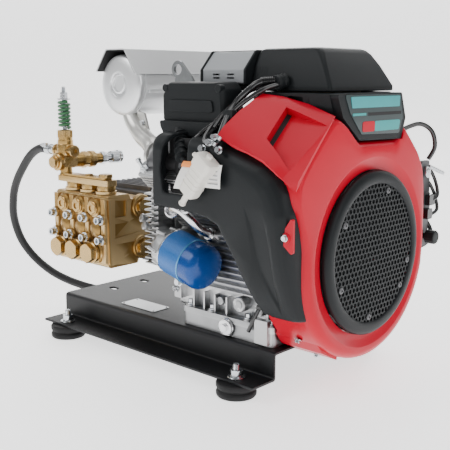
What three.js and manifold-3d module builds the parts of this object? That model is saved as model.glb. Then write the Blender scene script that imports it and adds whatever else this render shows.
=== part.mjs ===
// Engine-driven triplex high-pressure pump unit on a folded sheet-steel skid.
// Millimetres. +X runs along the crankshaft towards the cooling fan, the pump manifold
// and oil filter face -Y, +Z is up and z = 0 is the floor under the rubber feet.
import * as THREE from "three";
import { mergeVertices } from "three/addons/utils/BufferGeometryUtils.js";
import { ConvexGeometry } from "three/addons/geometries/ConvexGeometry.js";
import Module from "manifold-3d";

const wasm = await Module();
wasm.setup();

// ---------------------------------------------------------------- driving dimensions
const GAP = 0.3; // clearance left between pieces that touch
const SHAFT_Z = 218; // height of the engine and pump crankshaft axis

const BASE_LENGTH = 523;
const BASE_TOP_WIDTH = 253;
const BASE_WIDTH = 353;
const BASE_TOP_Z = 69.5;
const BASE_FLANGE_Z = 28.6;
const SHEET = 4;

const FOOT_X = 213;
const FOOT_Y = 158;
const FOOT_R = 32;

const ENGINE_X0 = 28; // output side face of the crankcase
const ENGINE_X1 = 238; // fan side face of the crankcase
const CRANKCASE_HALF_WIDTH = 96;
const NEAR_CYLINDER_X = 80;
const FAR_CYLINDER_X = 114;
const BORE_R = 39.5;
const STROKE = 70;
const DECK_R = 72; // crank axis to cylinder foot
const HEAD_R = 176; // crank axis to cylinder head joint
const COVER_R = 208; // crank axis to head cover joint
const COVER_TOP_R = 226;

const PUMP_X = -142; // middle plunger
const PLUNGER_PITCH = 43;
const ECCENTRIC = 7; // half of the plunger stroke
const MANIFOLD = { x0: -214, x1: -70, y0: -172, y1: -76, z0: 155, z1: 281 };
const PUMP_CASE = { x0: -210, x1: -74, y0: -75.7, y1: 70, z0: 152, z1: 278 };
const UNLOADER = { x: -206, y: -155 };

const FAN_X0 = 262; // rear edge of the fan housing
const FAN_X1 = 348; // front face of the fan housing
const GRILLE_R = 126;

const MUFFLER = { x: -88, z: 467, r: 51, y0: -125, y1: 145 };
const COVER_BOTTOM_Z = 463;

// The row origin is the middle of the whole object's footprint, hose left out.
const OFFSET_X = -45;
const OFFSET_Y = 13.5;

// ---------------------------------------------------------------- solids
const V = (x, y, z) => new THREE.Vector3(x, y, z);

/** A closed three.js geometry as a manifold solid with its faces pointing out. */
function solid(geometry) {
  const plain = geometry.clone();
  for (const name of Object.keys(plain.attributes)) {
    if (name !== "position") plain.deleteAttribute(name);
  }
  const merged = mergeVertices(plain, 1e-3);
  const index = merged.index.array;
  const triVerts = [];
  for (let i = 0; i < index.length; i += 3) {
    const [a, b, c] = [index[i], index[i + 1], index[i + 2]];
    if (a !== b && b !== c && c !== a) triVerts.push(a, b, c);
  }
  const vertProperties = merged.attributes.position.array;
  const make = (tris) =>
    new wasm.Manifold(
      new wasm.Mesh({ numProp: 3, vertProperties, triVerts: new Uint32Array(tris) }),
    );
  const made = make(triVerts);
  if (made.volume() > 0) return made;
  return make(triVerts.reverse());
}

const join = (first, ...rest) => rest.reduce((sum, s) => sum.add(s), first);
const cut = (first, ...rest) => rest.reduce((left, s) => left.subtract(s), first);

const box = (x0, x1, y0, y1, z0, z1) =>
  solid(
    new THREE.BoxGeometry(x1 - x0, y1 - y0, z1 - z0).translate(
      (x0 + x1) / 2,
      (y0 + y1) / 2,
      (z0 + z1) / 2,
    ),
  );

/** A round bar from point p to point q, or a hexagonal one with sides = 6. */
function bar(p, q, r0, r1 = r0, sides = 12) {
  const along = q.clone().sub(p);
  const geometry = new THREE.CylinderGeometry(r1, r0, along.length(), sides);
  geometry.applyQuaternion(
    new THREE.Quaternion().setFromUnitVectors(V(0, 1, 0), along.clone().normalize()),
  );
  const middle = p.clone().add(q).multiplyScalar(0.5);
  return solid(geometry.translate(middle.x, middle.y, middle.z));
}
const hexBar = (p, q, acrossFlats) => bar(p, q, acrossFlats / Math.sqrt(3), undefined, 6);
const barX = (x0, x1, y, z, r, sides = 12) => bar(V(x0, y, z), V(x1, y, z), r, r, sides);
const barY = (y0, y1, x, z, r, sides = 12) => bar(V(x, y0, z), V(x, y1, z), r, r, sides);
const barZ = (z0, z1, x, y, r, sides = 12) => bar(V(x, y, z0), V(x, y, z1), r, r, sides);

function outline(points) {
  const shape = new THREE.Shape();
  points.forEach(([a, b], i) => (i ? shape.lineTo(a, b) : shape.moveTo(a, b)));
  shape.closePath();
  return shape;
}

/** Extrusion between two stations along one axis; the outline holds the other two. */
function prism(points, from, to, basis) {
  const geometry = new THREE.ExtrudeGeometry(outline(points), {
    depth: to - from,
    bevelEnabled: false,
  });
  return solid(geometry.translate(0, 0, from).applyMatrix4(basis));
}
const BASIS_X = new THREE.Matrix4().makeBasis(V(0, 1, 0), V(0, 0, 1), V(1, 0, 0));
const BASIS_Y = new THREE.Matrix4().makeBasis(V(1, 0, 0), V(0, 0, 1), V(0, -1, 0));
const prismX = (yz, x0, x1) => prism(yz, x0, x1, BASIS_X);
const prismY = (xz, y0, y1) => prism(xz, -y1, -y0, BASIS_Y);

/** A turned solid: [radius, station] pairs measured from p along the direction dir. */
function turned(profile, p, dir, sides = 20) {
  const geometry = new THREE.LatheGeometry(
    profile.map(([r, t]) => new THREE.Vector2(r, t)),
    sides,
  );
  geometry.applyQuaternion(
    new THREE.Quaternion().setFromUnitVectors(V(0, 1, 0), dir.clone().normalize()),
  );
  return solid(geometry.translate(p.x, p.y, p.z));
}

const hull = (points) => solid(new ConvexGeometry(points.map(([x, y, z]) => V(x, y, z))));

/** A round tube along a smooth curve through the points. */
function tube(points, r, steps, sides = 10) {
  const section = new THREE.Shape();
  for (let i = 0; i < sides; i += 1) {
    const a = (i / sides) * 2 * Math.PI;
    const [u, v] = [r * Math.cos(a), r * Math.sin(a)];
    if (i) section.lineTo(u, v);
    else section.moveTo(u, v);
  }
  section.closePath();
  const path = Array.isArray(points)
    ? new THREE.CatmullRomCurve3(points.map(([x, y, z]) => V(x, y, z)))
    : points;
  return solid(
    new THREE.ExtrudeGeometry(section, { steps, extrudePath: path, bevelEnabled: false }),
  );
}

const range = (count) => Array.from({ length: count }, (_, i) => i);
const polar = (r, degrees) => {
  const a = (degrees * Math.PI) / 180;
  return [r * Math.cos(a), SHAFT_Z + r * Math.sin(a)];
};
const scaled = (points, k, [cy, cz]) =>
  points.map(([y, z]) => [cy + (y - cy) * k, cz + (z - cz) * k]);

// ---------------------------------------------------------------- materials
const finish = (color, roughness, metalness) => ({ color, roughness, metalness });
const BLACK_STEEL = finish(0x1b1c1e, 0.5, 0.3);
const RUBBER = finish(0x141414, 0.9, 0);
const CAST_ALUMINIUM = finish(0xb9bbbd, 0.45, 0.9);
const STEEL = finish(0x9da1a6, 0.35, 0.95);
const ZINC = finish(0xc6cbcf, 0.3, 0.95);
const RED = finish(0xc2182b, 0.25, 0.1);
const BLACK_PLASTIC = finish(0x2b2d30, 0.5, 0);
const BRASS = finish(0xb08a4c, 0.35, 0.9);
const PUMP_BLACK = finish(0x26282a, 0.6, 0.4);
const ALUMINISED = finish(0xd5d7d8, 0.35, 0.85);
const GREY_PLASTIC = finish(0xb4b7b9, 0.5, 0);
const WHITE_PLASTIC = finish(0xe9e7e0, 0.5, 0);
const BLUE = finish(0x1173b8, 0.35, 0.1);
const GREEN = finish(0x3f8f4a, 0.4, 0.3);
const CERAMIC = finish(0xf0ece2, 0.25, 0);
const FILTER_PAPER = finish(0xd9c9a0, 0.9, 0);

const unit = new THREE.Group();

function add(name, body, look) {
  const { vertProperties, triVerts, numProp } = body.getMesh();
  const count = vertProperties.length / numProp;
  const position = new Float32Array(count * 3);
  for (let i = 0; i < count; i += 1) {
    position.set(vertProperties.subarray(i * numProp, i * numProp + 3), i * 3);
  }
  const geometry = new THREE.BufferGeometry();
  geometry.setAttribute("position", new THREE.BufferAttribute(position, 3));
  geometry.setIndex(new THREE.BufferAttribute(new Uint32Array(triVerts), 1));
  geometry.computeVertexNormals();
  const mesh = new THREE.Mesh(geometry, new THREE.MeshStandardMaterial(look));
  mesh.name = name;
  unit.add(mesh);
  return mesh;
}

// ---------------------------------------------------------------- skid and feet
function baseFrame() {
  const [half, top, out] = [BASE_LENGTH / 2, BASE_TOP_WIDTH / 2, BASE_WIDTH / 2];
  const low = BASE_FLANGE_Z - SHEET;
  const section = [
    [-out, low], [-top, low], [-top + SHEET, low + 3], [-top + SHEET, BASE_TOP_Z - SHEET],
    [top - SHEET, BASE_TOP_Z - SHEET], [top - SHEET, low + 3], [top, low], [out, low],
    [out, BASE_FLANGE_Z], [top + 3, BASE_FLANGE_Z], [top, BASE_FLANGE_Z + 3],
    [top, BASE_TOP_Z - 4], [top - 4, BASE_TOP_Z], [-top + 4, BASE_TOP_Z],
    [-top, BASE_TOP_Z - 4], [-top, BASE_FLANGE_Z + 3], [-top - 3, BASE_FLANGE_Z],
    [-out, BASE_FLANGE_Z],
  ];
  let body = prismX(section, -half, half);
  for (const y of [-42, 38]) {
    body = cut(body, barZ(60, 75, -222, y, 6.5), barZ(60, 75, -212, y, 6.5));
    body = cut(body, box(-222, -212, y - 6.4, y + 6.4, 60, 75));
  }
  for (const sx of [-1, 1]) {
    for (const sy of [-1, 1]) body = cut(body, barZ(20, 35, sx * FOOT_X, sy * FOOT_Y, 5.5, 12));
  }
  add("base_frame", body, BLACK_STEEL);
}

function feet() {
  const top = BASE_FLANGE_Z - SHEET - GAP;
  const places = { front_left: [-1, -1], front_right: [1, -1], rear_left: [-1, 1], rear_right: [1, 1] };
  for (const [place, [sx, sy]] of Object.entries(places)) {
    const profile = [
      [6, 0], [FOOT_R - 3, 0], [FOOT_R, 3], [FOOT_R, top - 3], [FOOT_R - 2, top], [4.6, top],
      [4.6, top - 10], [6, top - 10], [6, 0],
    ];
    const mesh = add("foot_" + place, turned(profile, V(0, 0, 0), V(0, 0, 1), 20), RUBBER);
    mesh.position.set(sx * FOOT_X, sy * FOOT_Y, 0);
  }
}

// ---------------------------------------------------------------- engine block
/** Point in a cylinder's own frame: side -1 is the near bank, r runs out along the bore. */
const bank = (side, x, r, across) => {
  const k = Math.SQRT1_2;
  return V(x, side * k * (r + across), SHAFT_Z + k * (r - across));
};
/** A box in a bank's frame: along x, along the bore (r) and across it. */
function bankBox(side, x0, x1, r0, r1, a0, a1) {
  const corners = [];
  for (const x of [x0, x1]) {
    for (const r of [r0, r1]) for (const a of [a0, a1]) corners.push(bank(side, x, r, a).toArray());
  }
  return hull(corners);
}
const bankBar = (side, x, r0, r1, radius, sides = 20) =>
  bar(bank(side, x, r0, 0), bank(side, x, r1, 0), radius, radius, sides);
const BANKS = [["near", -1, NEAR_CYLINDER_X], ["far", 1, FAR_CYLINDER_X]];

function crankcase() {
  const w = CRANKCASE_HALF_WIDTH;
  const pad = 52;
  const [inY, inZ] = [bank(1, 0, DECK_R, -pad).y, bank(1, 0, DECK_R, -pad).z];
  const [outY, outZ] = [bank(1, 0, DECK_R, pad).y, bank(1, 0, DECK_R, pad).z];
  const section = [
    [-w, 96], [w, 96], [w, outZ - (w - outY)], [outY, outZ], [inY, inZ], [-inY, inZ],
    [-outY, outZ], [-w, outZ - (w - outY)],
  ];
  let body = prismX(section, ENGINE_X0, ENGINE_X1);
  body = join(body, box(50, 246, -113, 113, BASE_TOP_Z + GAP, 102));
  for (const i of range(5)) {
    const z = 141 + i * 18;
    body = join(body, box(96, ENGINE_X1 - 3, -w - 11, -w + 2, z, z + 3.4));
  }
  body = join(body, barY(-110, -90, 178, 126, 14), barY(-104, -90, 214, 120, 7));
  // Finned block on the output side, under the near exhaust port.
  body = join(body, box(2, 18, -136, -98, 168, 296), box(14.5, 44, -112, -92, 168, 226));
  for (const i of range(7)) body = join(body, box(-4, 19, -146, -104, 172 + i * 18, 176 + i * 18));
  // Pad that carries the oil filter.
  body = join(body, bar(V(64, -90, 200), V(34, -136, 208), 24), box(30, 70, -120, -90, 180, 224));
  const filter = oilFilterAxis();
  const behind = filter.dir.clone().multiplyScalar(-26).add(filter.base);
  body = join(body, bar(behind, filter.base, 27, 31, 20));
  body = cut(body, bar(filter.base, filter.base.clone().addScaledVector(filter.dir, 110), 45));
  body = cut(body, barX(ENGINE_X0 - 1, 150, 0, SHAFT_Z, 60, 20));
  body = cut(body, barX(149, ENGINE_X1 + 1, 0, SHAFT_Z, 24));
  for (const [, side, x] of BANKS) body = cut(body, bankBar(side, x, 20, 100, 43));
  add("engine_crankcase", body, CAST_ALUMINIUM);

  const cover = cut(
    barX(14, ENGINE_X0 - GAP, 0, SHAFT_Z, 82, 20),
    barX(10, 30, 0, SHAFT_Z, 22),
  );
  add("output_cover", cover, CAST_ALUMINIUM);
}

function cylinders() {
  for (const [place, side, x] of BANKS) {
    let barrel = bankBar(side, x, DECK_R + GAP, HEAD_R - GAP, 47);
    for (const i of range(4)) {
      const r = 90 + i * 20;
      const fin = bankBox(side, x - 60, x + 60, r, r + 3, -58, 58);
      barrel = join(barrel, fin);
    }
    barrel = cut(barrel, bankBar(side, x, 60, 190, BORE_R, 24));
    add("cylinder_" + place, barrel, CAST_ALUMINIUM);

    const port = bank(side, x - 56, 192, 0);
    let head = bankBox(side, x - 56, x + 56, HEAD_R, COVER_R - GAP, -50, 50);
    head = join(head, barX(port.x - 8, port.x + 4, port.y, port.z, 19));
    for (const i of range(2)) {
      const r = HEAD_R + 5 + i * 14;
      head = join(head, bankBox(side, x - 60, x + 60, r, r + 3, -56, 54));
    }
    head = cut(head, barX(port.x - 10, port.x + 14, port.y, port.z, 11));
    add("cylinder_head_" + place, head, CAST_ALUMINIUM);

    const lid = hull(
      [[COVER_R, 38], [COVER_R + 12, 38], [COVER_TOP_R, 28]].flatMap(([r, a]) =>
        [[-1, -1], [-1, 1], [1, -1], [1, 1]].map(([sx, sa]) =>
          bank(side, x + sx * (a + 8), r, sa * a).toArray(),
        ),
      ),
    );
    add("head_cover_" + place, lid, BLACK_PLASTIC);

    const crown = 135;
    const piston = bankBar(side, x, 97, crown, BORE_R - GAP, 24);
    const skirt = cut(piston, bankBar(side, x, 90, 122, BORE_R - 5));
    const rod = join(
      bankBar(side, x, 98, 124, 9),
      bankBox(side, x - 9, x + 9, 108, 120, -BORE_R + 3, BORE_R - 3),
    );
    add("piston_" + place, join(skirt, rod), STEEL);
  }
}

function crankshafts() {
  const pin = STROKE / 2;
  const shaft = join(
    barX(-128, 20, 0, SHAFT_Z, 12.7),
    barX(19, 51, 0, SHAFT_Z, 20),
    barX(50, 61, 0, SHAFT_Z, 55, 24),
    barX(60, 132, pin, SHAFT_Z, 18),
    barX(131, 143, 0, SHAFT_Z, 55, 24),
    barX(142, 252, 0, SHAFT_Z, 20),
    barX(251, 330, 0, SHAFT_Z, 14),
  );
  add("engine_crankshaft", shaft, STEEL);

  let fan = join(barX(270, 300, 0, SHAFT_Z, 34), barX(270, 277, 0, SHAFT_Z, 108, 24));
  for (const i of range(8)) {
    const a = (i / 8) * 2 * Math.PI;
    const place = (r, da) => [r * Math.cos(a + da), SHAFT_Z + r * Math.sin(a + da)];
    fan = join(fan, prismX([place(40, 0), place(106, 0.12), place(106, 0.16), place(40, 0.1)], 276, 312));
  }
  fan = cut(fan, barX(260, 320, 0, SHAFT_Z, 14 + GAP));
  add("flywheel_fan", fan, CAST_ALUMINIUM);

  let crank = join(barX(-216, -203, 0, SHAFT_Z, 20), barX(-204, -80, 0, SHAFT_Z, 17.5));
  crank = join(crank, barX(-82, -66, 0, SHAFT_Z, 20));
  for (const i of range(3)) {
    const a = Math.PI + (i * 2 * Math.PI) / 3;
    const x = PUMP_X + (i - 1) * PLUNGER_PITCH;
    const [y, z] = [ECCENTRIC * Math.cos(a), SHAFT_Z + ECCENTRIC * Math.sin(a)];
    crank = join(crank, barX(x - 11, x + 11, y, z, 30, 20));
  }
  crank = cut(crank, barX(-130, -60, 0, SHAFT_Z, 12.7 + GAP));
  add("pump_crankshaft", crank, STEEL);
}

// ---------------------------------------------------------------- fan housing and ducts
const BADGE_PANEL = [
  [-98, 458], [-82, 424], [-39, 390], [76, 387], [88, 419], [74, 458],
];
const HOUSING_OUTLINE = [
  polar(166, -123), polar(166, -57), polar(165, -45), polar(164, -30), polar(163, -15),
  [163, 218], [161, 290], [152, 338], [113, 386], [94, 404], [90, 412], [77, 385], [-40, 388],
  [-83, 423], [-100, 428], [-130, 402], [-184, 345], [-186, 309], [-170, 270], [-167, 218],
  polar(165, -165), polar(165, -150), polar(166, -135),
];
const SIDE_Y = -205; // outermost plane of the near air duct

/** The housing's wing over the near cylinder head, grown about its middle by a factor. */
function wingHull(grow = 1) {
  const points = [
    [217, SIDE_Y, 396], [243, SIDE_Y, 388], [300, SIDE_Y, 370], [333, SIDE_Y, 348],
    [346, -188, 330], [346, -186, 345], [346, -130, 402], [346, -101, 428], [228, -120, 457],
    [255, -105, 453], [298, -101, 443], [217, -190, 396], [300, -175, 366],
  ];
  const middle = [290, -155, 400];
  return hull(points.map((p) => p.map((v, i) => middle[i] + (v - middle[i]) * grow)));
}

function fanHousing() {
  const centre = [0, 232];
  let body = prismX(HOUSING_OUTLINE, FAN_X0, FAN_X1);
  body = cut(body, prismX(scaled(HOUSING_OUTLINE, 0.965, centre), FAN_X0 - 5, FAN_X1 - 8));
  const hollow = hull([
    [210, -200, 392], [243, -200, 384], [300, -200, 366], [330, -199, 345], [338, -180, 330],
    [338, -126, 398], [222, -118, 452], [250, -100, 447], [298, -96, 437], [210, -120, 380],
    [330, -90, 330], [210, -150, 360],
  ]);
  body = join(body, wingHull());
  body = cut(body, hollow);
  body = cut(body, prismX(scaled(HOUSING_OUTLINE, 0.965, centre), FAN_X0 - 5, FAN_X1 - 8));
  body = cut(body, barX(FAN_X1 - 20, FAN_X1 + 1, 0, SHAFT_Z, GRILLE_R - 8, 24));
  const panel = scaled(BADGE_PANEL, 1.012, [-5, 425]);
  body = cut(body, prismX(panel, 200, FAN_X1 + 5));
  add("fan_housing", body, RED);

  let grille = barX(FAN_X1 + GAP, FAN_X1 + 8, 0, SHAFT_Z, GRILLE_R, 40);
  grille = cut(grille, barX(FAN_X1 + 4, FAN_X1 + 12, 0, SHAFT_Z, GRILLE_R - 20, 24));
  const pitch = 46;
  for (const row of range(3)) {
    for (const column of range(4)) {
      const y = (column - 1.5 + (row % 2) / 2) * pitch;
      const z = (row - 1) * pitch * 0.87;
      if (Math.hypot(y, z) > GRILLE_R - 34) continue;
      grille = cut(grille, barX(FAN_X1 - 4, FAN_X1 + 12, y, SHAFT_Z + z, 15, 6));
    }
  }
  add("fan_grille", grille, BLACK_PLASTIC);
}

const DUCT_OUTER = [
  [-161, 400], [-190, 396], [-204, 386], [SIDE_Y, 300], [-199, 250], [-186, 190], [-160, 140],
];

/** Bent sheet-like shell in the YZ plane, wall thick, mirrored for the far side. */
function ductShell(side, x0, x1, wall) {
  const inner = DUCT_OUTER.map(([y, z], i) => {
    const k = i === 0 ? 0 : 1;
    return [y + wall * k, z - (i < 3 ? wall : 0)];
  });
  const points = [...DUCT_OUTER, ...inner.reverse()].map(([y, z]) => [-side * y, z]);
  return prismX(points, x0, x1);
}

function sideDucts() {
  let near = ductShell(-1, 77, 338, 4);
  const below = [
    [60, 299], [150, 293], [205, 285], [258, 186], [284, 150], [292, 138], [345, 134], [345, 90],
    [60, 90],
  ];
  near = cut(near, prismY(below, -230, -90));
  const red = [
    [212, 430], [212, 393], [243, 383], [300, 365], [322, 345], [330, 318], [334, 300],
    [350, 300], [350, 430],
  ];
  near = cut(near, prismY(red, -230, -90), wingHull(1.03));
  near = cut(near, box(100, 156, -215, -198, 306, 388));
  near = cut(near, box(325, 345, -215, -188, 268, 350));
  add("air_duct_near", near, BLACK_PLASTIC);

  let far = ductShell(1, 108, 256, 4);
  far = cut(far, prismY([[100, 260], [262, 230], [262, 100], [100, 100]], 90, 230));
  add("air_duct_far", far, BLACK_PLASTIC);
}

// ---------------------------------------------------------------- intake and air cleaner
function intake() {
  const body = join(
    box(74, 152, -32, 32, 352, 412),
    barY(-86, -30, 104, 397, 11),
    barY(30, 86, 104, 397, 11),
    barX(150, 178, 0, 396, 20),
  );
  add("carburettor", body, CAST_ALUMINIUM);

  const face = [
    [44, 414], [52, 404], [168, 404], [180, 416], [176, 462], [166, 474], [58, 474], [44, 454],
  ];
  const chin = [[52, 410], [60, 392], [156, 392], [168, 410]];
  const cap = join(prismY(face, -150, -104), prismY(chin, -160, -147));
  add("breather_cover", cap, BLACK_PLASTIC);

  const louvre = prismX([[-95, 470], [-95, 484], [-62, 512], [-56, 512], [-56, 470]], 72, 165);
  const slots = [100, 128].map((x) => box(x, x + 14, -98, -88, 474, 479));
  add("louvre_panel", cut(louvre, ...slots), GREY_PLASTIC);
}

function airCleaner() {
  const top = COVER_BOTTOM_Z - 4;
  let base = join(
    prismX(BADGE_PANEL, 300, 343),
    box(180, 301, -84, 84, 424, 458),
    box(178.3, 210, -26, 26, 384, 458),
  );
  base = cut(base, box(206, 336, -70, 70, 434, 470), barX(170, 220, 0, 396, 8));
  base = join(base, box(176, 322, -84, 84, 458, top).subtract(box(206, 312, -70, 70, 440, 470)));
  add("air_cleaner_base", base, BLACK_PLASTIC);

  const rect = (x0, x1, y0, y1, z) => [[x0, y0, z], [x1, y0, z], [x0, y1, z], [x1, y1, z]];
  const low = top + GAP;
  const outer = hull([
    ...rect(174, 324, -86, 86, low), ...rect(174, 324, -86, 86, COVER_BOTTOM_Z + 6),
    ...rect(180, 290, -70, 56, 524),
  ]);
  const inner = hull([
    ...rect(178, 320, -82, 82, low - 2), ...rect(178, 320, -82, 82, COVER_BOTTOM_Z + 5),
    ...rect(184, 287, -67, 53, 520),
  ]);
  add("air_cleaner_cover", cut(outer, inner), BLACK_PLASTIC);

  const element = cut(
    box(206.5, 286, -56, 50, 434.3, 494),
    box(222, 270, -42, 36, 430, 484),
  );
  add("air_filter_element", element, FILTER_PAPER);
}

// ---------------------------------------------------------------- exhaust
function exhaust() {
  const { x, z, r, y0, y1 } = MUFFLER;
  const length = y1 - y0;
  const profile = [
    [0, 0], [16, 0], [20, -3], [r - 12, 1], [r - 3, 7], [r, 15], [r, length - 15],
    [r - 3, length - 7], [r - 12, length - 1], [0, length],
  ];
  const near = bank(-1, NEAR_CYLINDER_X - 64, 192, 0);
  const far = bank(1, FAR_CYLINDER_X - 64, 192, 0);
  let body = turned(profile, V(x, y0, z), V(0, 1, 0), 24);
  const pipe = (points) => tube(points, 15, 9, 8);
  body = join(
    body,
    pipe([
      [-88, -102, 440], [-80, -106, 412], [-58, -113, 391], [-28, near.y + 10, near.z + 19],
      [-6, near.y + 2, near.z + 5], [near.x - 6, near.y, near.z],
    ]),
    pipe([
      [-80, 96, 440], [-72, 104, 412], [-46, 116, 388], [-8, far.y - 4, far.z + 10],
      [22, far.y, far.z + 1], [far.x - 6, far.y, far.z],
    ]),
    barX(near.x - 8, near.x - GAP, near.y, near.z, 22),
    barX(far.x - 8, far.x - GAP, far.y, far.z, 22),
  );
  add("muffler", body, ALUMINISED);

  const outer = [[x - 52, 491], [x - 24, 528], [x + 24, 528], [x + 53, 486]];
  const inner = [[x + 50.5, 486], [x + 23, 526], [x - 23, 526], [x - 50, 490]];
  let shield = prismY([...outer, ...inner], y0 - 8, 118);
  for (const y of [y0 + 30, 80]) shield = join(shield, barZ(z + r + GAP + 0.2, 527, x, y, 6, 12));
  add("heat_shield", shield, ALUMINISED);
}

// ---------------------------------------------------------------- engine accessories
function oilFilterAxis() {
  return { base: V(57, -141, 201.7), dir: V(0.972, -0.022, -0.233).normalize() };
}

function accessories() {
  const eye = cut(
    join(
      barY(-101, -96, 32, 493, 14, 20),
      prismY([[19, 487], [22, 470], [30, 407], [84, 407], [76, 470], [45, 498]], -101, -96),
    ),
    barY(-110, -90, 32, 493, 8),
  );
  add("lifting_eye", eye, ZINC);

  const { base, dir } = oilFilterAxis();
  const profile = [
    [0, GAP], [34, GAP], [36, 3], [37.5, 6], [37.5, 48], [39, 50], [37.5, 53], [37.5, 72], [34, 82],
    [24, 88], [0, 90],
  ];
  add("oil_filter", turned(profile, base, dir, 18), BLUE);

  const plug = join(
    barY(-119, -113 - GAP, 152, 85, 11),
    hexBar(V(152, -125, 85), V(152, -118, 85), 13),
  );
  add("drain_plug", plug, ZINC);

  const [low, high] = [V(184, -222, 312), V(207, -222, 378)];
  const axis = high.clone().sub(low).normalize();
  const filter = join(
    bar(low.clone().addScaledVector(axis, 22), high, 19, 19, 20),
    bar(low.clone().addScaledVector(axis, 14), low.clone().addScaledVector(axis, 23), 8, 19, 20),
    bar(low, low.clone().addScaledVector(axis, 15), 5, 5, 12),
    bar(high, high.clone().addScaledVector(axis, 10), 5, 5, 12),
    box(188, 206, -212, SIDE_Y - GAP, 336, 356),
  );
  add("fuel_filter", cut(filter, box(150, 260, SIDE_Y - GAP, -190, 290, 400)), WHITE_PLASTIC);

  add(
    "wiring_loom",
    tube([
      [251, -100, 474], [240, -128, 468], [226, -160, 452], [214, -186, 424], [206, -208, 398],
      [206, -212, 392],
    ].map(([a, b, c]) => [a - 14, b, c]), 6, 14, 8),
    BLACK_PLASTIC,
  );

  const motor = join(
    barX(70, 182, 134, 156, 31, 20),
    barX(182, 206, 128, 162, 22),
    box(90, 104, 96 + GAP, 120, 130, 180),
    box(150, 164, 96 + GAP, 120, 130, 180),
  );
  add("starter_motor", motor, PUMP_BLACK);

  const bracket = join(
    box(322, 328, 168, 206, 196, 344),
    box(300, 324, 168, 176, 230, 300),
    box(328, 332, 172, 202, 240, 290),
  );
  add("control_bracket", cut(bracket, barX(318, 334, 190, 322, 5), barX(318, 334, 192, 214, 5)), PUMP_BLACK);

  const lever = join(
    barX(316, 334, 190, 322, 4.7, 14),
    box(328.5, 332.5, 184, 200, 316, 336),
    hull([[329, 196, 330], [333, 196, 330], [329, 196, 336], [333, 196, 336],
      [346, 214, 318], [350, 214, 318], [346, 214, 324], [350, 214, 324]]),
  );
  add("throttle_lever", lever, ZINC);

  add("choke_knob", join(barX(316, 336, 192, 214, 4.7, 14), barX(333, 352, 192, 214, 12, 20)), BLACK_PLASTIC);
}

// ---------------------------------------------------------------- pump
const plungerX = (i) => PUMP_X + (i - 1) * PLUNGER_PITCH;

function pumpCase() {
  const { x0, x1, y0, y1, z0, z1 } = PUMP_CASE;
  let body = prismX(
    [[y0, z0 + 8], [y0 + 8, z0], [y1 - 18, z0], [y1, z0 + 18], [y1, z1 - 18], [y1 - 18, z1], [y0, z1]],
    x0, x1,
  );
  for (const i of range(6)) {
    const y = y0 + 16 + i * 19;
    body = join(body, box(x0 + 6, x1 - 6, y, y + 4, z1 - 2, z1 + 9));
  }
  body = cut(body, box(x0 + 9, x1 - 9, y0 + 14, y1 - 10, z0 + 12, z1 - 12));
  body = cut(body, box(x0 + 20, x1 - 20, y1 - 12, y1 + 1, z0 + 24, z1 - 24));
  body = cut(body, barX(x0 - 1, x0 + 12, 0, SHAFT_Z, 20.5, 20), barX(x1 - 12, x1 + 1, 0, SHAFT_Z, 20.5, 20));
  for (const i of range(3)) body = cut(body, barY(y0 - 1, y0 + 16, plungerX(i), SHAFT_Z, 14.3, 20));
  add("pump_crankcase", body, PUMP_BLACK);

  let cover = box(x0 + 14, x1 - 14, y1 + GAP, y1 + 9, z0 + 18, z1 - 18);
  cover = join(cover, barY(y1 + 8, y1 + 13, PUMP_X, SHAFT_Z - 8, 15), barZ(z1 - 30, z1 - 6, PUMP_X + 30, y1 + 5, 4, 12));
  add("pump_rear_cover", cover, CAST_ALUMINIUM);

  let bell = turned(
    [[50, 0], [64, 0], [64, 10], [70, 14], [76, 66], [94, 70], [94, 87], [80, 87.4], [54, 87.4], [50, 20], [50, 0]],
    V(x1 + GAP, 0, SHAFT_Z), V(1, 0, 0), 28,
  );
  for (const a of [-90, 90]) {
    const [y, z] = polar(74, a);
    bell = cut(bell, box(-50, -18, y - 22, y + 22, z - 24, z + 24));
  }
  add("pump_adapter", bell, CAST_ALUMINIUM);
}

function manifoldBlock() {
  const { x0, x1, y0, y1, z0, z1 } = MANIFOLD;
  const section = [
    [y0, z0 + 4], [y0 + 4, z0], [y1 - 30, z0], [y1 - 26, z0 + 12], [y1, z0 + 12], [y1, z1 - 10],
    [y0 + 52, z1 - 10], [y0 + 48, z1], [y0 + 4, z1], [y0, z1 - 4],
  ];
  let body = prismX(section, x0, x1);
  for (const i of range(3)) {
    const x = plungerX(i);
    body = cut(body, barY(y1 - 76, y1 + 1, x, SHAFT_Z, 9.6));
    body = cut(body, barY(y0 - 1, y0 + 14, x, 182.5, 12.3), barZ(z1 - 14, z1 + 1, x, y0 + 21, 12.3));
    body = join(body, hexBar(V(x, y0 - 13, 259), V(x, y0 + 2, 259), 22));
  }
  body = join(body, hexBar(V(x1 - 2, -96, 259), V(x1 + 9, -96, 259), 20));
  body = join(body, hexBar(V(x1 - 2, -94, 184), V(x1 + 10, -94, 184), 24));
  add("pump_manifold", body, BRASS);

  for (const i of range(3)) {
    const x = plungerX(i);
    const inlet = join(
      barY(y0 - 6, y0 - GAP, x, 182.5, 18.5, 20),
      hexBar(V(x, y0 - 28, 182.5), V(x, y0 - 5, 182.5), 24),
      barY(y0 - 1, y0 + 12, x, 182.5, 12),
    );
    add("inlet_valve_cap_" + (i + 1), inlet, BRASS);
    const outlet = join(
      barZ(z1 + GAP, z1 + 5, x, y0 + 21, 18, 20),
      hexBar(V(x, y0 + 21, z1 + 4), V(x, y0 + 21, z1 + 15), 24),
      barZ(z1 - 12, z1 + 1, x, y0 + 21, 12),
    );
    add("outlet_valve_cap_" + (i + 1), outlet, BRASS);
  }
}

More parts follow.
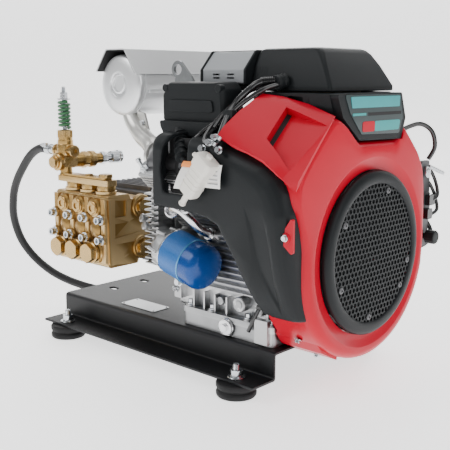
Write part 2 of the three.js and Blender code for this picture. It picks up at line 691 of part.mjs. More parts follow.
function plungers() {
  for (const i of range(3)) {
    const ahead = i === 0 ? ECCENTRIC : -ECCENTRIC / 2;
    const x = plungerX(i);
    const body = join(
      barY(-66 - ahead, -45.5 - ahead, x, SHAFT_Z, 13.9, 20),
      barY(-140 - ahead, -65 - ahead, x, SHAFT_Z, 9.2, 24),
    );
    add("plunger_" + (i + 1), body, CERAMIC);
  }
}

// ---------------------------------------------------------------- unloader valve and hoses
const RAIL_Z0 = MANIFOLD.z1 + 15.3;

function unloader() {
  const { x, y } = UNLOADER;
  const lower = 331;
  const upper = 350;
  let body = join(
    box(-217, -76, y - 13, y + 12, RAIL_Z0, RAIL_Z0 + 14),
    barZ(RAIL_Z0 + 13, 324, x, y, 11),
    box(x - 14, x + 14, y - 15, y + 15, 320, 342),
    hexBar(V(x, y - 31, lower), V(x, y - 12, lower), 21),
    barY(y + 14, y + 78, x, lower, 11),
    hexBar(V(x, y + 30, lower), V(x, y + 44, lower), 27),
    barY(y + 50, y + 62, x, lower, 14),
    barZ(341, 362, x, y, 14),
    barX(x - 26, x + 22, y, upper, 9),
    barX(x + 20, x + 28, y, upper, 8, 20),
    barZ(361, 388, x, y, 12),
  );
  body = cut(body, barZ(356, 392, x, y, 4.6, 12), barY(y + 60, y + 80, x, lower, 7));
  add("unloader_valve", body, BRASS);

  const barb = join(
    hexBar(V(x - 34, y, upper), V(x - 26 - GAP, y, upper), 18),
    barX(x - 60, x - 33, y, upper, 6, 12),
    barX(x - 56, x - 44, y, upper, 9.5, 20),
  );
  add("bypass_barb", barb, ZINC);

  const stem = join(
    barZ(366, 465, x, y, 4, 12),
    barZ(441, 444, x, y, 12, 24),
    hexBar(V(x, y, 443), V(x, y, 455), 19),
  );
  add("unloader_stem", stem, STEEL);

  class Helix extends THREE.Curve {
    getPoint(t) {
      const turns = 5.5;
      const a = 2 * Math.PI * turns * t;
      return V(x + 9.2 * Math.cos(a), y + 9.2 * Math.sin(a), 390.6 + 48 * t);
    }
  }
  add("unloader_spring", tube(new Helix(), 1.9, 46, 5), GREEN);

  const start = y + 78 + GAP;
  const coupler = join(
    hexBar(V(x, start, lower), V(x, start + 12, lower), 22),
    barY(start + 11, start + 50, x, lower, 8),
    barY(start + 11, start + 16, x, lower, 10),
  );
  add("quick_coupler", cut(coupler, barY(start - 1, start + 60, x, lower, 5)), ZINC);
  const sleeve = cut(
    join(barY(start + 23, start + 48, x, lower, 11.5, 20), barY(start + 41, start + 45, x, lower, 12.6, 20)),
    barY(start + 10, start + 60, x, lower, 8 + GAP),
  );
  add("coupler_sleeve", sleeve, ZINC);

  const fitting = join(
    barX(-196, -176, -20, 50, 6, 12),
    hexBar(V(-178, -20, 50), V(-166, -20, 50), 18),
    box(-168, -148, -30, -10, 40, BASE_TOP_Z - SHEET - GAP),
  );
  add("return_fitting", fitting, BRASS);
}

/** Free bypass hose: from the barb, out past the skid's end and in under its top plate. */
const HOSE_R = 8;
const HOSE_ROUTE = [
  [-266.3, -155, 350], [-284, -155, 349.5], [-306, -154.5, 342], [-328, -153.5, 328],
  [-352, -151.5, 307], [-375, -148.5, 285], [-396, -144, 260], [-412, -138, 233],
  [-424, -131, 206], [-430, -122, 178], [-429, -112, 150], [-420, -100, 124],
  [-403, -86, 100], [-380, -71, 80], [-352, -56, 66], [-320, -42, 57], [-286, -30, 52],
  [-252, -23, 50], [-222, -20, 50], [-196.3, -20, 50],
];

function bypassHose() {
  add("bypass_hose", tube(HOSE_ROUTE, HOSE_R, 44, 8), RUBBER);
}

// ---------------------------------------------------------------- assembly
baseFrame();
feet();
crankcase();
cylinders();
crankshafts();
fanHousing();
sideDucts();
intake();
airCleaner();
exhaust();
accessories();
pumpCase();
manifoldBlock();
plungers();
unloader();
bypassHose();

unit.position.set(OFFSET_X, OFFSET_Y, 0);

export default unit;
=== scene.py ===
# Looks of the engine-driven high-pressure pump unit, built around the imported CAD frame.
import math
import bmesh
import bpy
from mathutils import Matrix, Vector


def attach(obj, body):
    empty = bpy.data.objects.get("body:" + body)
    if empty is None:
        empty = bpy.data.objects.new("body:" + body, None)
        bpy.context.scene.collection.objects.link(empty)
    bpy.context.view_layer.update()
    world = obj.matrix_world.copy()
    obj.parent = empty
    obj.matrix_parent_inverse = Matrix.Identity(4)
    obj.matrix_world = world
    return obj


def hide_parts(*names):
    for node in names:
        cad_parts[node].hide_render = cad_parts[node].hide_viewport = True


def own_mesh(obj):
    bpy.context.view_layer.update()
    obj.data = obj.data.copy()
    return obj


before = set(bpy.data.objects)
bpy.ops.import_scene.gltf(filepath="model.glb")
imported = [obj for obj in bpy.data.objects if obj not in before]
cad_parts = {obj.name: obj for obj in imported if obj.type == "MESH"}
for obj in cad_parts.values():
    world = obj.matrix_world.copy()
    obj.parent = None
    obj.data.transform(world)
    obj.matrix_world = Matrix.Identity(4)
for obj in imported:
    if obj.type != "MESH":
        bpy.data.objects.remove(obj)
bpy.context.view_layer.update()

# ------------------------------------------------------------------ shared sizes, millimetres
OFFSET = Vector((-45.0, 13.5, 0.0))  # machine's own axes to the row frame
SHAFT_Z = 218.0
NEAR_X = 80.0
FAR_X = 114.0
BANKS = (("near", -1, NEAR_X), ("far", 1, FAR_X))  # name, side and place of each cylinder
PLUNGER_X = (-185.0, -142.0, -99.0)
CUT_EDGE = 0.1  # edge rounding of the bars that only drill holes
CAMERA_TURN = math.radians(42.7)
TAU = 2 * math.pi
LEFT, RIGHT, FRONT, BACK, UP = (-1, 0, 0), (1, 0, 0), (0, -1, 0), (0, 1, 0), (0, 0, 1)


def place(p):
    """A point in the machine's own millimetres as a point of the row frame, in metres."""
    return (Vector(p) + OFFSET) * 0.001


# ------------------------------------------------------------------ camera, light, stage
camera = bpy.data.objects.new("camera", bpy.data.cameras.new("camera"))
camera.location = (0.9479, -1.0153, 0.480)
camera.rotation_euler = (math.radians(79.6), 0.0, CAMERA_TURN)
camera.data.sensor_width = 36.0
camera.data.lens = 64.28
bpy.context.scene.collection.objects.link(camera)
bpy.context.scene.camera = camera


def softbox(name, spot, aim, width, height, power):
    data = bpy.data.lights.new(name, "AREA")
    data.shape = "RECTANGLE"
    data.size, data.size_y = width, height
    data.energy = power
    lamp = bpy.data.objects.new(name, data)
    lamp.location = spot
    lamp.rotation_euler = (Vector(aim) - Vector(spot)).to_track_quat("-Z", "Y").to_euler()
    bpy.context.scene.collection.objects.link(lamp)


softbox("key_light", (-0.9, -1.7, 1.9), (0, 0, 0.25), 1.3, 1.3, 24)
softbox("right_light", (1.9, -0.5, 1.2), (0.1, 0, 0.25), 0.9, 1.5, 11)
softbox("top_light", (0.1, 0.3, 2.2), (0, 0, 0.2), 1.8, 1.4, 15)
softbox("back_light", (-1.2, 1.9, 1.3), (0, 0, 0.25), 1.2, 1.2, 11)


# ------------------------------------------------------------------ finishes
EDGE_FROM, EDGE_FULL = 0.53, 0.62  # pointiness at which wear starts and is full
BUMP_DEPTH = 0.0004


def look(name, color, rough, metal=0.0, tone=0.1, tone_mm=40.0, grain=0.1, grain_mm=1.2,
         spread=0.06, coat=0.0, worn=None, stretch=(1, 1, 1), shine=0.5):
    """A procedural finish: slow colour drift, uneven gloss, fine bump and, if given, worn edges.
    """
    made = bpy.data.materials.new(name)
    made.use_nodes = True
    nodes, links = made.node_tree.nodes, made.node_tree.links
    shader = nodes["Principled BSDF"]
    shader.inputs["Metallic"].default_value = metal
    shader.inputs["Coat Weight"].default_value = coat
    shader.inputs["Coat Roughness"].default_value = 0.06
    shader.inputs["Specular IOR Level"].default_value = shine
    coord = nodes.new("ShaderNodeTexCoord")
    mapping = nodes.new("ShaderNodeMapping")
    mapping.inputs["Scale"].default_value = stretch
    links.new(coord.outputs["Object"], mapping.inputs["Vector"])

    def noise(size_mm, detail):
        node = nodes.new("ShaderNodeTexNoise")
        node.inputs["Scale"].default_value = 1000.0 / size_mm
        node.inputs["Detail"].default_value = detail
        links.new(mapping.outputs["Vector"], node.inputs["Vector"])
        return node.outputs["Fac"]

    drift, fine = noise(tone_mm, 4.0), noise(grain_mm, 3.0)
    mix = nodes.new("ShaderNodeMix")
    mix.data_type = "RGBA"
    links.new(drift, mix.inputs["Factor"])
    mix.inputs["A"].default_value = [c * (1 - tone) for c in color] + [1]
    mix.inputs["B"].default_value = [min(1, c * (1 + tone)) for c in color] + [1]
    shade = mix.outputs["Result"]
    if worn:
        ramp = nodes.new("ShaderNodeMapRange")
        ramp.inputs["From Min"].default_value = EDGE_FROM
        ramp.inputs["From Max"].default_value = EDGE_FULL
        ramp.inputs["To Max"].default_value = worn[1]
        links.new(nodes.new("ShaderNodeNewGeometry").outputs["Pointiness"], ramp.inputs["Value"])
        edge = nodes.new("ShaderNodeMix")
        edge.data_type = "RGBA"
        links.new(ramp.outputs["Result"], edge.inputs["Factor"])
        links.new(shade, edge.inputs["A"])
        edge.inputs["B"].default_value = list(worn[0]) + [1]
        shade = edge.outputs["Result"]
    links.new(shade, shader.inputs["Base Color"])
    gloss = nodes.new("ShaderNodeMapRange")
    gloss.inputs["To Min"].default_value = max(0.02, rough - spread)
    gloss.inputs["To Max"].default_value = rough + spread
    links.new(fine, gloss.inputs["Value"])
    links.new(gloss.outputs["Result"], shader.inputs["Roughness"])
    bump = nodes.new("ShaderNodeBump")
    bump.inputs["Strength"].default_value = grain
    bump.inputs["Distance"].default_value = BUMP_DEPTH
    links.new(fine, bump.inputs["Height"])
    links.new(bump.outputs["Normal"], shader.inputs["Normal"])
    return made


BRIGHT = (0.9, 0.9, 0.9)
RED = look("red_gloss", (0.5, 0.002, 0.02), 0.3, tone=0.06, grain=0.03, coat=0.06, spread=0.04,
           shine=0.15)
BLACK_STEEL = look("black_powder_coat", (0.007, 0.0075, 0.0085), 0.42, tone=0.25, grain=0.35,
                   grain_mm=0.9, worn=((0.06, 0.06, 0.065), 0.5), shine=0.25)
PLASTIC = look("black_moulded_plastic", (0.011, 0.0128, 0.014), 0.42, tone=0.1,
               grain=0.25, grain_mm=0.7, shine=0.16)
GLOSS_BLACK = look("black_gloss_plastic", (0.012, 0.012, 0.013), 0.18, grain=0.05,
                   coat=0.4)
# Flat near-black used as painted shade: set inside openings, behind the grille, in slots and under the heat
# shield.
DARK = look("painted_shade_black", (0.008, 0.008, 0.009), 0.7, grain=0.2)
GREY = look("grey_plastic", (0.32, 0.335, 0.35), 0.4, tone=0.04, grain=0.15, grain_mm=0.8)
RUBBER = look("rubber", (0.011, 0.011, 0.012), 0.62, tone=0.3, grain=0.4, grain_mm=0.8, shine=0.3)
HOSE = look("braided_hose_cover", (0.013, 0.013, 0.014), 0.5, tone=0.3, grain=0.5,
            grain_mm=1.6, shine=0.35)
CAST = look("cast_aluminium", (0.38, 0.385, 0.39), 0.42, 1.0, tone=0.18, tone_mm=22,
            grain=0.55, grain_mm=1.4, spread=0.12, worn=(BRIGHT, 0.5))
DARK_CAST = look("dark_cast_aluminium", (0.11, 0.11, 0.115), 0.45, 0.8, tone=0.3, grain=0.4)
MACHINED = look("machined_aluminium", (0.78, 0.78, 0.79), 0.24, 1.0, tone=0.06, grain=0.12,
                grain_mm=0.5, stretch=(1, 1, 8))
STEEL = look("steel", (0.5, 0.5, 0.52), 0.28, 1.0, tone=0.1, grain=0.1, grain_mm=0.6)
EYE = look("dull_zinc_plate", (0.22, 0.23, 0.235), 0.34, 0.9, tone=0.2, tone_mm=12, grain=0.2)
ZINC = look("zinc_plate", (0.6, 0.62, 0.64), 0.22, 1.0, tone=0.14, tone_mm=9, grain=0.12,
            spread=0.08)
ALUMINISED = look("aluminised_steel", (0.8, 0.81, 0.82), 0.33, 0.7, tone=0.08,
                  tone_mm=60, grain=0.18, grain_mm=2.2, spread=0.08)
PIPE = look("heat_tinted_pipe", (0.68, 0.67, 0.64), 0.32, 0.8, tone=0.14,
            tone_mm=35, grain=0.12)
BRASS = look("cast_brass", (0.31, 0.185, 0.058), 0.38, 0.9, tone=0.25, tone_mm=18, grain=0.45,
             grain_mm=1.3, spread=0.1, worn=((0.8, 0.6, 0.32), 0.6))
BRASS_CUT = look("machined_brass", (0.4, 0.25, 0.085), 0.27, 1.0, tone=0.14, tone_mm=14,
                 grain=0.15, grain_mm=0.5, worn=((0.85, 0.66, 0.38), 0.5))
BLUE = look("blue_paint", (0.0, 0.055, 0.26), 0.26, 0.1, tone=0.08, grain=0.04, coat=0.2,
            shine=0.3)
BLUE_GRIP = look("blue_textured_paint", (0.008, 0.12, 0.4), 0.4, 0.1, tone=0.35, tone_mm=1.6,
                 grain=1.0, grain_mm=1.3, spread=0.15)
GREEN = look("green_paint", (0.012, 0.11, 0.03), 0.3, tone=0.25, tone_mm=6, grain=0.15,
             coat=0.3)
WHITE = look("white_plastic", (0.82, 0.79, 0.72), 0.42, tone=0.04, grain=0.1)
PAPER = look("paper", (0.86, 0.85, 0.82), 0.7, tone=0.04, grain=0.1, grain_mm=0.6)
ORANGE = look("orange_print", (0.85, 0.27, 0.05), 0.6, tone=0.06, grain=0.1)
TEAL = look("teal_stripe", (0.02, 0.3, 0.3), 0.35, tone=0.06, grain=0.05)
SILVER_LABEL = look("silver_label", (0.62, 0.63, 0.64), 0.3, 0.8, tone=0.1, grain=0.08)
CERAMIC = look("ceramic", (0.85, 0.83, 0.77), 0.15, tone=0.04, grain=0.03, coat=0.3)
FILTER = look("pleated_paper", (0.6, 0.47, 0.25), 0.8, tone=0.2, tone_mm=6, grain=0.4)


# ------------------------------------------------------------------ shapes
AXES = {
    "x": lambda u, v, t: (t, u, v),
    "y": lambda u, v, t: (u, t, v),
    "z": lambda u, v, t: (u, v, t),
}


def lerp(a, b, t):
    return a + (b - a) * t


STRAIGHT = 1.52  # half an angle, in radians, past which a corner is left as it is
EDGE_SHARE = 0.48  # the most of an edge that one rounded corner may take


def fillet(points, radius, steps=4):
    """A closed outline with rounded corners; a point may carry its own radius as a third value."""
    out = []
    for i, p in enumerate(points):
        r = p[2] if len(p) > 2 else radius
        here = Vector(p[:2])
        back = Vector(points[i - 1][:2]) - here
        on = Vector(points[(i + 1) % len(points)][:2]) - here
        half = back.angle(on) / 2
        if r <= 0 or half > STRAIGHT:
            out.append(tuple(here))
            continue
        reach = min(r / math.tan(half), back.length * EDGE_SHARE, on.length * EDGE_SHARE)
        a, b = here + back.normalized() * reach, here + on.normalized() * reach
        for k in range(steps + 1):
            t = k / steps
            out.append(tuple(lerp(lerp(a, here, t), lerp(here, b, t), t)))
    return out


def oblong(u0, u1, v0, v1):
    """The four corners of an upright oblong."""
    return [(u0, v0), (u1, v0), (u1, v1), (u0, v1)]


def arc(cx, cy, r, start, end, count):
    """Points on an arc, angles in degrees."""
    angles = [math.radians(lerp(start, end, i / count)) for i in range(count + 1)]
    return [(cx + r * math.cos(a), cy + r * math.sin(a)) for a in angles]


def smooth(points, steps):
    """A Catmull-Rom curve through the points."""
    knots = [Vector(p) for p in points]
    out = []
    for i in range(len(knots) - 1):
        p0, p1, p2 = knots[max(0, i - 1)], knots[i], knots[i + 1]
        p3 = knots[min(len(knots) - 1, i + 2)]
        for k in range(steps):
            t = k / steps
            out.append(0.5 * (2 * p1 + (p2 - p0) * t + (2 * p0 - 5 * p1 + 4 * p2 - p3) * t * t
                              + (3 * p1 - p0 - 3 * p2 + p3) * t ** 3))
    return out + [knots[-1]]


def round_shaft(x, r, degrees):
    """A point at a distance from the shaft's axis."""
    t = math.radians(degrees)
    return (x, math.cos(t) * r, SHAFT_Z + math.sin(t) * r)


def hexagon(across):
    """Radius of a hexagon by angle."""
    return lambda a: across / 2 / math.cos((a + math.pi / 6) % (math.pi / 3) - math.pi / 6)


WASHER_HEIGHT = 1.6


class Form:
    """Closed shells gathered into one mesh, in the machine's own millimetres."""

    def __init__(self):
        self.bm = bmesh.new()

    def loft(self, rings, closed=False):
        rows = [[self.bm.verts.new(p) for p in ring] for ring in rings]
        pairs = list(zip(rows, rows[1:]))
        if closed:
            pairs.append((rows[-1], rows[0]))
        else:
            self.bm.faces.new(rows[0][::-1])
            self.bm.faces.new(rows[-1])
        for a, b in pairs:
            for i in range(len(a)):
                j = (i + 1) % len(a)
                self.bm.faces.new((a[i], a[j], b[j], b[i]))
        return self

    def prism(self, axis, points, t0, t1):
        return self.loft([[AXES[axis](p[0], p[1], t) for p in points] for t in (t0, t1)])

    def box(self, x0, x1, y0, y1, z0, z1):
        return self.prism("z", oblong(x0, x1, y0, y1), z0, z1)

    def slab(self, axis, u0, u1, v0, v1, t0, t1, corner):
        """A prism of an oblong with rounded corners."""
        return self.prism(axis, fillet(oblong(u0, u1, v0, v1), corner), t0, t1)

    def turned(self, profile, origin, direction, sides=40, closed=False):
        """A turned shell from (radius, station) pairs; a radius may depend on the angle."""
        w = Vector(direction).normalized()
        u = Vector(UP).cross(w).normalized() if abs(w.z) < 0.9 else Vector(RIGHT)
        v = w.cross(u)
        rings = []
        for r, t in profile:
            ring = []
            for i in range(sides):
                a = i / sides * TAU
                k = r(a) if callable(r) else r
                ring.append(Vector(origin) + w * t + (u * math.cos(a) + v * math.sin(a)) * k)
            rings.append(ring)
        return self.loft(rings, closed)

    def bar(self, p, q, r, edge=0.6, sides=32):
        along = Vector(q) - Vector(p)
        n = along.length
        edge = min(edge, n * 0.4, r * 0.4)
        return self.turned([(r - edge, 0), (r, edge), (r, n - edge), (r - edge, n)], p, along, sides)

    def nut(self, p, direction, across, height, washer=0.0):
        """A chamfered hexagon standing on p, with a round washer face under it."""
        w = Vector(direction).normalized()
        at = Vector(p)
        if washer:
            top = at + w * WASHER_HEIGHT
            self.bar(at, top, washer, 0.3)
            at = top
        six = hexagon(across)
        low = lambda a: min(six(a), across * 0.52)
        return self.turned([(low, 0), (six, height * 0.1), (six, height * 0.84), (low, height)],
                           at, w, 36)

    def socket_screw(self, p, direction, r, height):
        """A cap screw's head: knurled side, chamfer and hexagonal socket."""
        wavy = lambda a: r * (1 + 0.02 * math.cos(a * 24))
        six = hexagon(r * 1.1)
        profile = [(r * 0.98, 0), (wavy, height * 0.1), (wavy, height * 0.86), (r * 0.9, height),
                   (r * 0.66, height), (six, height * 0.97), (six, height * 0.45), (r * 0.1, height * 0.4)]
        return self.turned(profile, p, direction, 48)

    def sweep(self, points, radius, sides=16, steps=8):
        """A round bar along a smooth curve."""
        path = smooth(points, steps) if steps > 1 else [Vector(p) for p in points]
        normal = None
        rings = []
        for i, p in enumerate(path):
            along = (path[min(i + 1, len(path) - 1)] - path[max(i - 1, 0)]).normalized()
            if normal is None:
                normal = along.orthogonal().normalized()
            normal = (normal - along * normal.dot(along)).normalized()
            other = along.cross(normal)
            rings.append([p + normal * math.cos(k / sides * TAU) * radius
                          + other * math.sin(k / sides * TAU) * radius for k in range(sides)])
        return self.loft(rings)

    def hull(self, points):
        """The convex shell round the points, its flat faces merged."""
        verts = [self.bm.verts.new(p) for p in points]
        done = bmesh.ops.convex_hull(self.bm, input=verts)
        spare = [g for g in done["geom_interior"] + done["geom_unused"]
                 if isinstance(g, bmesh.types.BMVert)]
        bmesh.ops.delete(self.bm, geom=list(set(spare)), context="VERTS")
        kept = [v for v in verts if v.is_valid]
        edges = list({e for v in kept for e in v.link_edges})
        bmesh.ops.dissolve_limit(self.bm, angle_limit=0.03, verts=kept, edges=edges)
        return self


def mesh_object(name, form):
    bmesh.ops.recalc_face_normals(form.bm, faces=form.bm.faces)
    for v in form.bm.verts:
        v.co = place(v.co)
    mesh = bpy.data.meshes.new(name)
    form.bm.to_mesh(mesh)
    form.bm.free()
    obj = bpy.data.objects.new(name, mesh)
    bpy.context.scene.collection.objects.link(obj)
    return obj


def settle(obj):
    """Applies the object's modifiers."""
    mesh = bpy.data.meshes.new_from_object(obj.evaluated_get(bpy.context.evaluated_depsgraph_get()))
    obj.modifiers.clear()
    obj.data = mesh
    return obj


def carve(obj, *cutters):
    for form in cutters:
        tool = mesh_object("cutter", form)
        step = obj.modifiers.new("cut", "BOOLEAN")
        step.object = tool
        step.operation = "DIFFERENCE"
        step.solver = "EXACT"
        step.use_self = True
        settle(obj)
        bpy.data.objects.remove(tool)


MOULD_VOXEL, MOULD_EASE, MOULD_FACES_KEPT = 0.0022, 0.6, 0.4


def hand_over(obj, finish, body="frame", cad=None):
    """Gives an object its finish and body, and lets it stand for a CAD node."""
    obj.data.materials.clear()
    obj.data.materials.append(finish)
    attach(obj, body)
    if cad:
        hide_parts(cad)
    return obj


def piece(name, form, finish, body="frame", cad=None, cuts=(), bevel=0.0, segments=2,
          angle=32, sharp=38, soften=0):
    """Turns a form into a finished piece; soften gives it moulded, flowing edges."""
    obj = mesh_object(name, form)
    carve(obj, *cuts)
    if soften:
        mould = obj.modifiers.new("mould", "REMESH")
        mould.mode = "VOXEL"
        mould.voxel_size = MOULD_VOXEL
        ease = obj.modifiers.new("ease", "SMOOTH")
        ease.iterations = soften
        ease.factor = MOULD_EASE
        fewer = obj.modifiers.new("fewer", "DECIMATE")
        fewer.ratio = MOULD_FACES_KEPT
    elif bevel:
        edge = obj.modifiers.new("bevel", "BEVEL")
        edge.width = bevel * 0.001
        edge.segments = segments
        edge.angle_limit = math.radians(angle)
        edge.limit_method = "ANGLE"
    settle(obj)
    mesh = obj.data
    mesh.polygons.foreach_set("use_smooth", [True] * len(mesh.polygons))
    mesh.set_sharp_from_angle(angle=math.radians(sharp))
    if not soften:
        obj.modifiers.new("weighted", "WEIGHTED_NORMAL").keep_sharp = True
        settle(obj)
    return hand_over(obj, finish, body, cad)


# ------------------------------------------------------------------ bypass hose
HOSE_ROUTE = [
    (-266.3, -155, 350), (-284, -155, 349.5), (-306, -154.5, 342), (-328, -153.5, 328),
    (-352, -151.5, 307), (-375, -148.5, 285), (-396, -144, 260), (-412, -138, 233),
    (-424, -131, 206), (-430, -122, 178), (-429, -112, 150), (-420, -100, 124),
    (-403, -86, 100), (-380, -71, 80), (-352, -56, 66), (-320, -42, 57), (-286, -30, 52),
    (-252, -23, 50), (-222, -20, 50), (-196.3, -20, 50),
]


def bypass_hose():
    form = Form().sweep(HOSE_ROUTE, 7.9, 24, 10)
    obj = piece("bypass_hose_cover", form, HOSE, cad="bypass_hose")


bypass_hose()


# ------------------------------------------------------------------ skid
def skid():
    out, web, top = 176.5, 126.5, 122.5
    section = [
        (-out, 24.6, 1), (-top, 24.6, 5), (-top, 65.5, 3), (top, 65.5, 3), (top, 24.6, 5), (out, 24.6, 1),
        (out, 28.6, 1), (web, 28.6, 4), (web, 69.5, 7), (-web, 69.5, 7), (-web, 28.6, 4), (-out, 28.6, 1),
    ]
    form = Form().prism("x", fillet(section, 1, 5), -261.5, 261.5)
    slots = Form()
    for y in (-42, 38):
        slots.prism("z", arc(-212, y, 6.5, -90, 90, 10) + arc(-222, y, 6.5, 90, 270, 10), 60, 75)
    piece("skid_plate", form, BLACK_STEEL, cad="base_frame", cuts=[slots], bevel=0.7, angle=50)

    plate = Form().slab("z", -122, -34, -104, -64, 69.6, 70.5, 3)
    piece("blank_nameplate", plate, SILVER_LABEL, bevel=0.2)
    rivets = Form()
    for x in (-118, -38):
        for y in (-100, -68):
            rivets.turned([(1.9, 70.4), (1.7, 71.2), (0.9, 71.7)], (x, y, 0), UP, 16)
    piece("nameplate_rivets", rivets, ZINC)

    for where, sx, sy in (("front_left", -1, -1), ("front_right", 1, -1),
                               ("rear_left", -1, 1), ("rear_right", 1, 1)):
        x, y = sx * 213, sy * 158
        profile = [(7, 0), (27, 0), (30, 1), (31.4, 3), (31.8, 7), (30.6, 10), (28.6, 11.6), (28.6, 13),
                   (30.8, 14.6), (31.9, 17), (31.9, 21.5), (31, 23.6), (29, 24.3), (7, 24.3)]
        foot = Form().turned(profile, (x, y, 0), UP, 56, closed=True)
        foot.turned([(9.5, 0.8), (9.5, 20), (5, 20), (5, 0.8)], (x, y, 0), UP, 32, closed=True)
        piece("rubber_foot_" + where, foot, RUBBER, cad="foot_" + where, sharp=50)
        bolt = Form().bar((x, y, 28.7), (x, y, 30.6), 14, 0.5)
        bolt.bar((x, y, 30.6), (x, y, 32.4), 9.6, 0.5)
        bolt.nut((x, y, 32.4), UP, 18.5, 9)
        threads = [(5.4 if k % 2 else 4.8, 40 + k * 0.75) for k in range(14)] + [(4.2, 50.8)]
        bolt.turned(threads, (x, y, 0), UP, 24)
        bolt.bar((x, y, 3), (x, y, 42), 4.9, 0.3)
        piece("foot_bolt_" + where, bolt, ZINC)


# ------------------------------------------------------------------ engine block
def bank(side, x, r, across):
    """A point in a cylinder's frame: r runs out along its bore, across lies in the bank's plane."""
    k = math.sqrt(0.5)
    return Vector((x, side * k * (r + across), SHAFT_Z + k * (r - across)))


def bank_slab(form, side, x0, x1, r0, r1, a0, a1, corner=8):
    """A rounded slab lying across a bore."""
    outline = fillet(oblong(x0, x1, a0, a1), corner, 3)
    return form.loft([[bank(side, x, r, a) for x, a in outline] for r in (r0, r1)])


FLANGE_BOLTS = (62, 112, 190, 236)
FILTER_BASE = Vector((57, -141, 201.7))
FILTER_DIR = Vector((0.972, -0.022, -0.233)).normalized()


def crankcase():
    w = 96  # half the crankcase's width
    inner, outer = bank(1, 0, 72, -52), bank(1, 0, 72, 52)
    section = [(-w, 97, 8), (w, 97, 8), (w, outer.z - (w - outer.y), 6), (outer.y, outer.z, 3),
               (inner.y, inner.z, 3), (-inner.y, inner.z, 3), (-outer.y, outer.z, 3),
               (-w, outer.z - (w - outer.y), 6)]
    form = Form().prism("x", fillet(section, 6), 28, 238)
    form.slab("z", 50, 246, -111, 111, 70, 98, 9)
    form.slab("z", 48, 248, -113, 113, 92, 102, 11)
    for i in range(10):
        z = 141 + i * 10
        fin = fillet([(-w + 2, z), (-w + 2, z + 4.4), (-107, z + 3.2), (-107, z + 0.6)], 1, 2)
        form.prism("x", fin, 92, 235)
    form.bar((112, -104, 232), (206, -104, 229), 7, 1.5)
    # finned block under the near exhaust port
    form.box(2, 18, -136, -98, 168, 296)
    form.box(15, 44, -112, -92, 168, 226)
    for i in range(14):
        z = 172 + i * 9
        form.prism("x", fillet([(-147, z), (-147, z + 2.6), (-104, z + 3.6), (-104, z - 1)], 1, 2), -4, 19)
    form.bar((12, -132, 176), (30, -132, 176), 8)
    form.turned([(6.5, 0), (7.5, 2), (7.5, 7), (6, 8), (6, 12), (7, 13), (7, 15), (5, 17)], (8, -122, 296),
                UP, 28)
    for at in ((-5, -140, 246), (10, -148, 236)):
        form.turned([(4, 0), (4, 5), (7, 6), (7.6, 9), (7, 12), (4, 13.4)], at, (-0.3, -0.9, 0.3), 24)
    form.bar((176, -112, 126), (176, -90, 126), 12.5, 1.4)
    form.turned([(6, 0), (7, 1), (5.5, 1.4), (3, 1.2)], (176, -112, 126), FRONT, 32)
    form.bar((212, -106, 120), (212, -88, 120), 8)
    form.bar((128, -104, 122), (128, -88, 122), 7)
    form.box(214, 240, -118, -108, 74, 112)
    for x in (72, 96, 120, 146, 232):
        form.box(x - 1.6, x + 1.6, -108, -90, 100, 132)
    for x in FLANGE_BOLTS:
        form.turned([(8.5, 0), (8.5, 9), (7.5, 10.5), (4, 10.5)], (x, -104, 95), UP, 28)
    # arm that carries the oil filter
    form.turned([(23, 0), (26, 14), (27, 30), (26, 44)], (64, -84, 200), (-26, -44, 9), 32)
    back = FILTER_BASE - FILTER_DIR * 27
    form.turned([(24, 0), (29, 6), (31, 12), (31, 26), (33.5, 26.4), (33.5, 27)], back, FILTER_DIR, 40)
    for a in range(6):
        t = a / 6 * TAU
        side = Vector(BACK) * math.cos(t) + Vector((0.233, 0, 0.972)) * math.sin(t)
        form.bar(back + side * 30, back + side * 30 + FILTER_DIR * 20, 3.4)
    form.box(28, 44, -110, -92, 112, 176)
    form.bar((30, -100, 122), (30, -100, 176), 7)
    # ribs and bosses of the far side and of the fan end
    for z in (130, 150, 205):
        form.prism("x", fillet([(w - 2, z), (w - 2, z + 5), (w + 8, z + 4), (w + 8, z + 1)], 1, 2), 210,
                   234)
    for y in (-70, -36, 36, 70):
        form.bar((236, y, 118), (246, y, 118), 7)
    cuts = [Form().bar((27, 0, SHAFT_Z), (120, 0, SHAFT_Z), 60, CUT_EDGE),
            Form().bar((100, 0, SHAFT_Z), (240, 0, SHAFT_Z), 24, CUT_EDGE)]
    for _, side, x in BANKS:
        cuts.append(Form().bar(bank(side, x, 20, 0), bank(side, x, 100, 0), 42, CUT_EDGE, 48))
    piece("engine_block", form, CAST, cad="engine_crankcase", bevel=0.8, cuts=cuts)


def engine_fittings():
    bolts = Form()
    for x in FLANGE_BOLTS:
        bolts.nut((x, -104, 105.5), UP, 9, 6, 7)
    bolts.nut((30, -100, 176), UP, 13, 7, 9)
    bolts.nut((40, -110, 140), FRONT, 10, 6, 8)
    bolts.nut((33, -108, 128), (-0.4, -1, 0), 9, 6, 7)
    for degrees in range(15, 360, 60):
        bolts.nut(round_shaft(13.9, 70, degrees), LEFT, 10, 6, 7.5)
    piece("engine_bolts", bolts, ZINC)

    plug = Form().bar((152, -113.2, 85), (152, -116, 85), 15, 0.8)
    plug.turned([(12.5, 0), (13.5, 0.6), (13.5, 2.4), (12, 3), (8, 3.1), (hexagon(13), 3.2),
                 (hexagon(13), 7.8), (5.4, 8.4)], (152, -116, 85), FRONT, 36)
    piece("oil_drain_plug", plug, MACHINED, cad="drain_plug")

    stick = Form().sweep([(219, -113, 128), (212, -117, 110), (203, -119, 90)], 3.4, 14, 6)
    stick.bar((219.6, -112.6, 127), (221.5, -111.5, 134), 6.5, 1.4)
    piece("dipstick_tube", stick, GLOSS_BLACK)


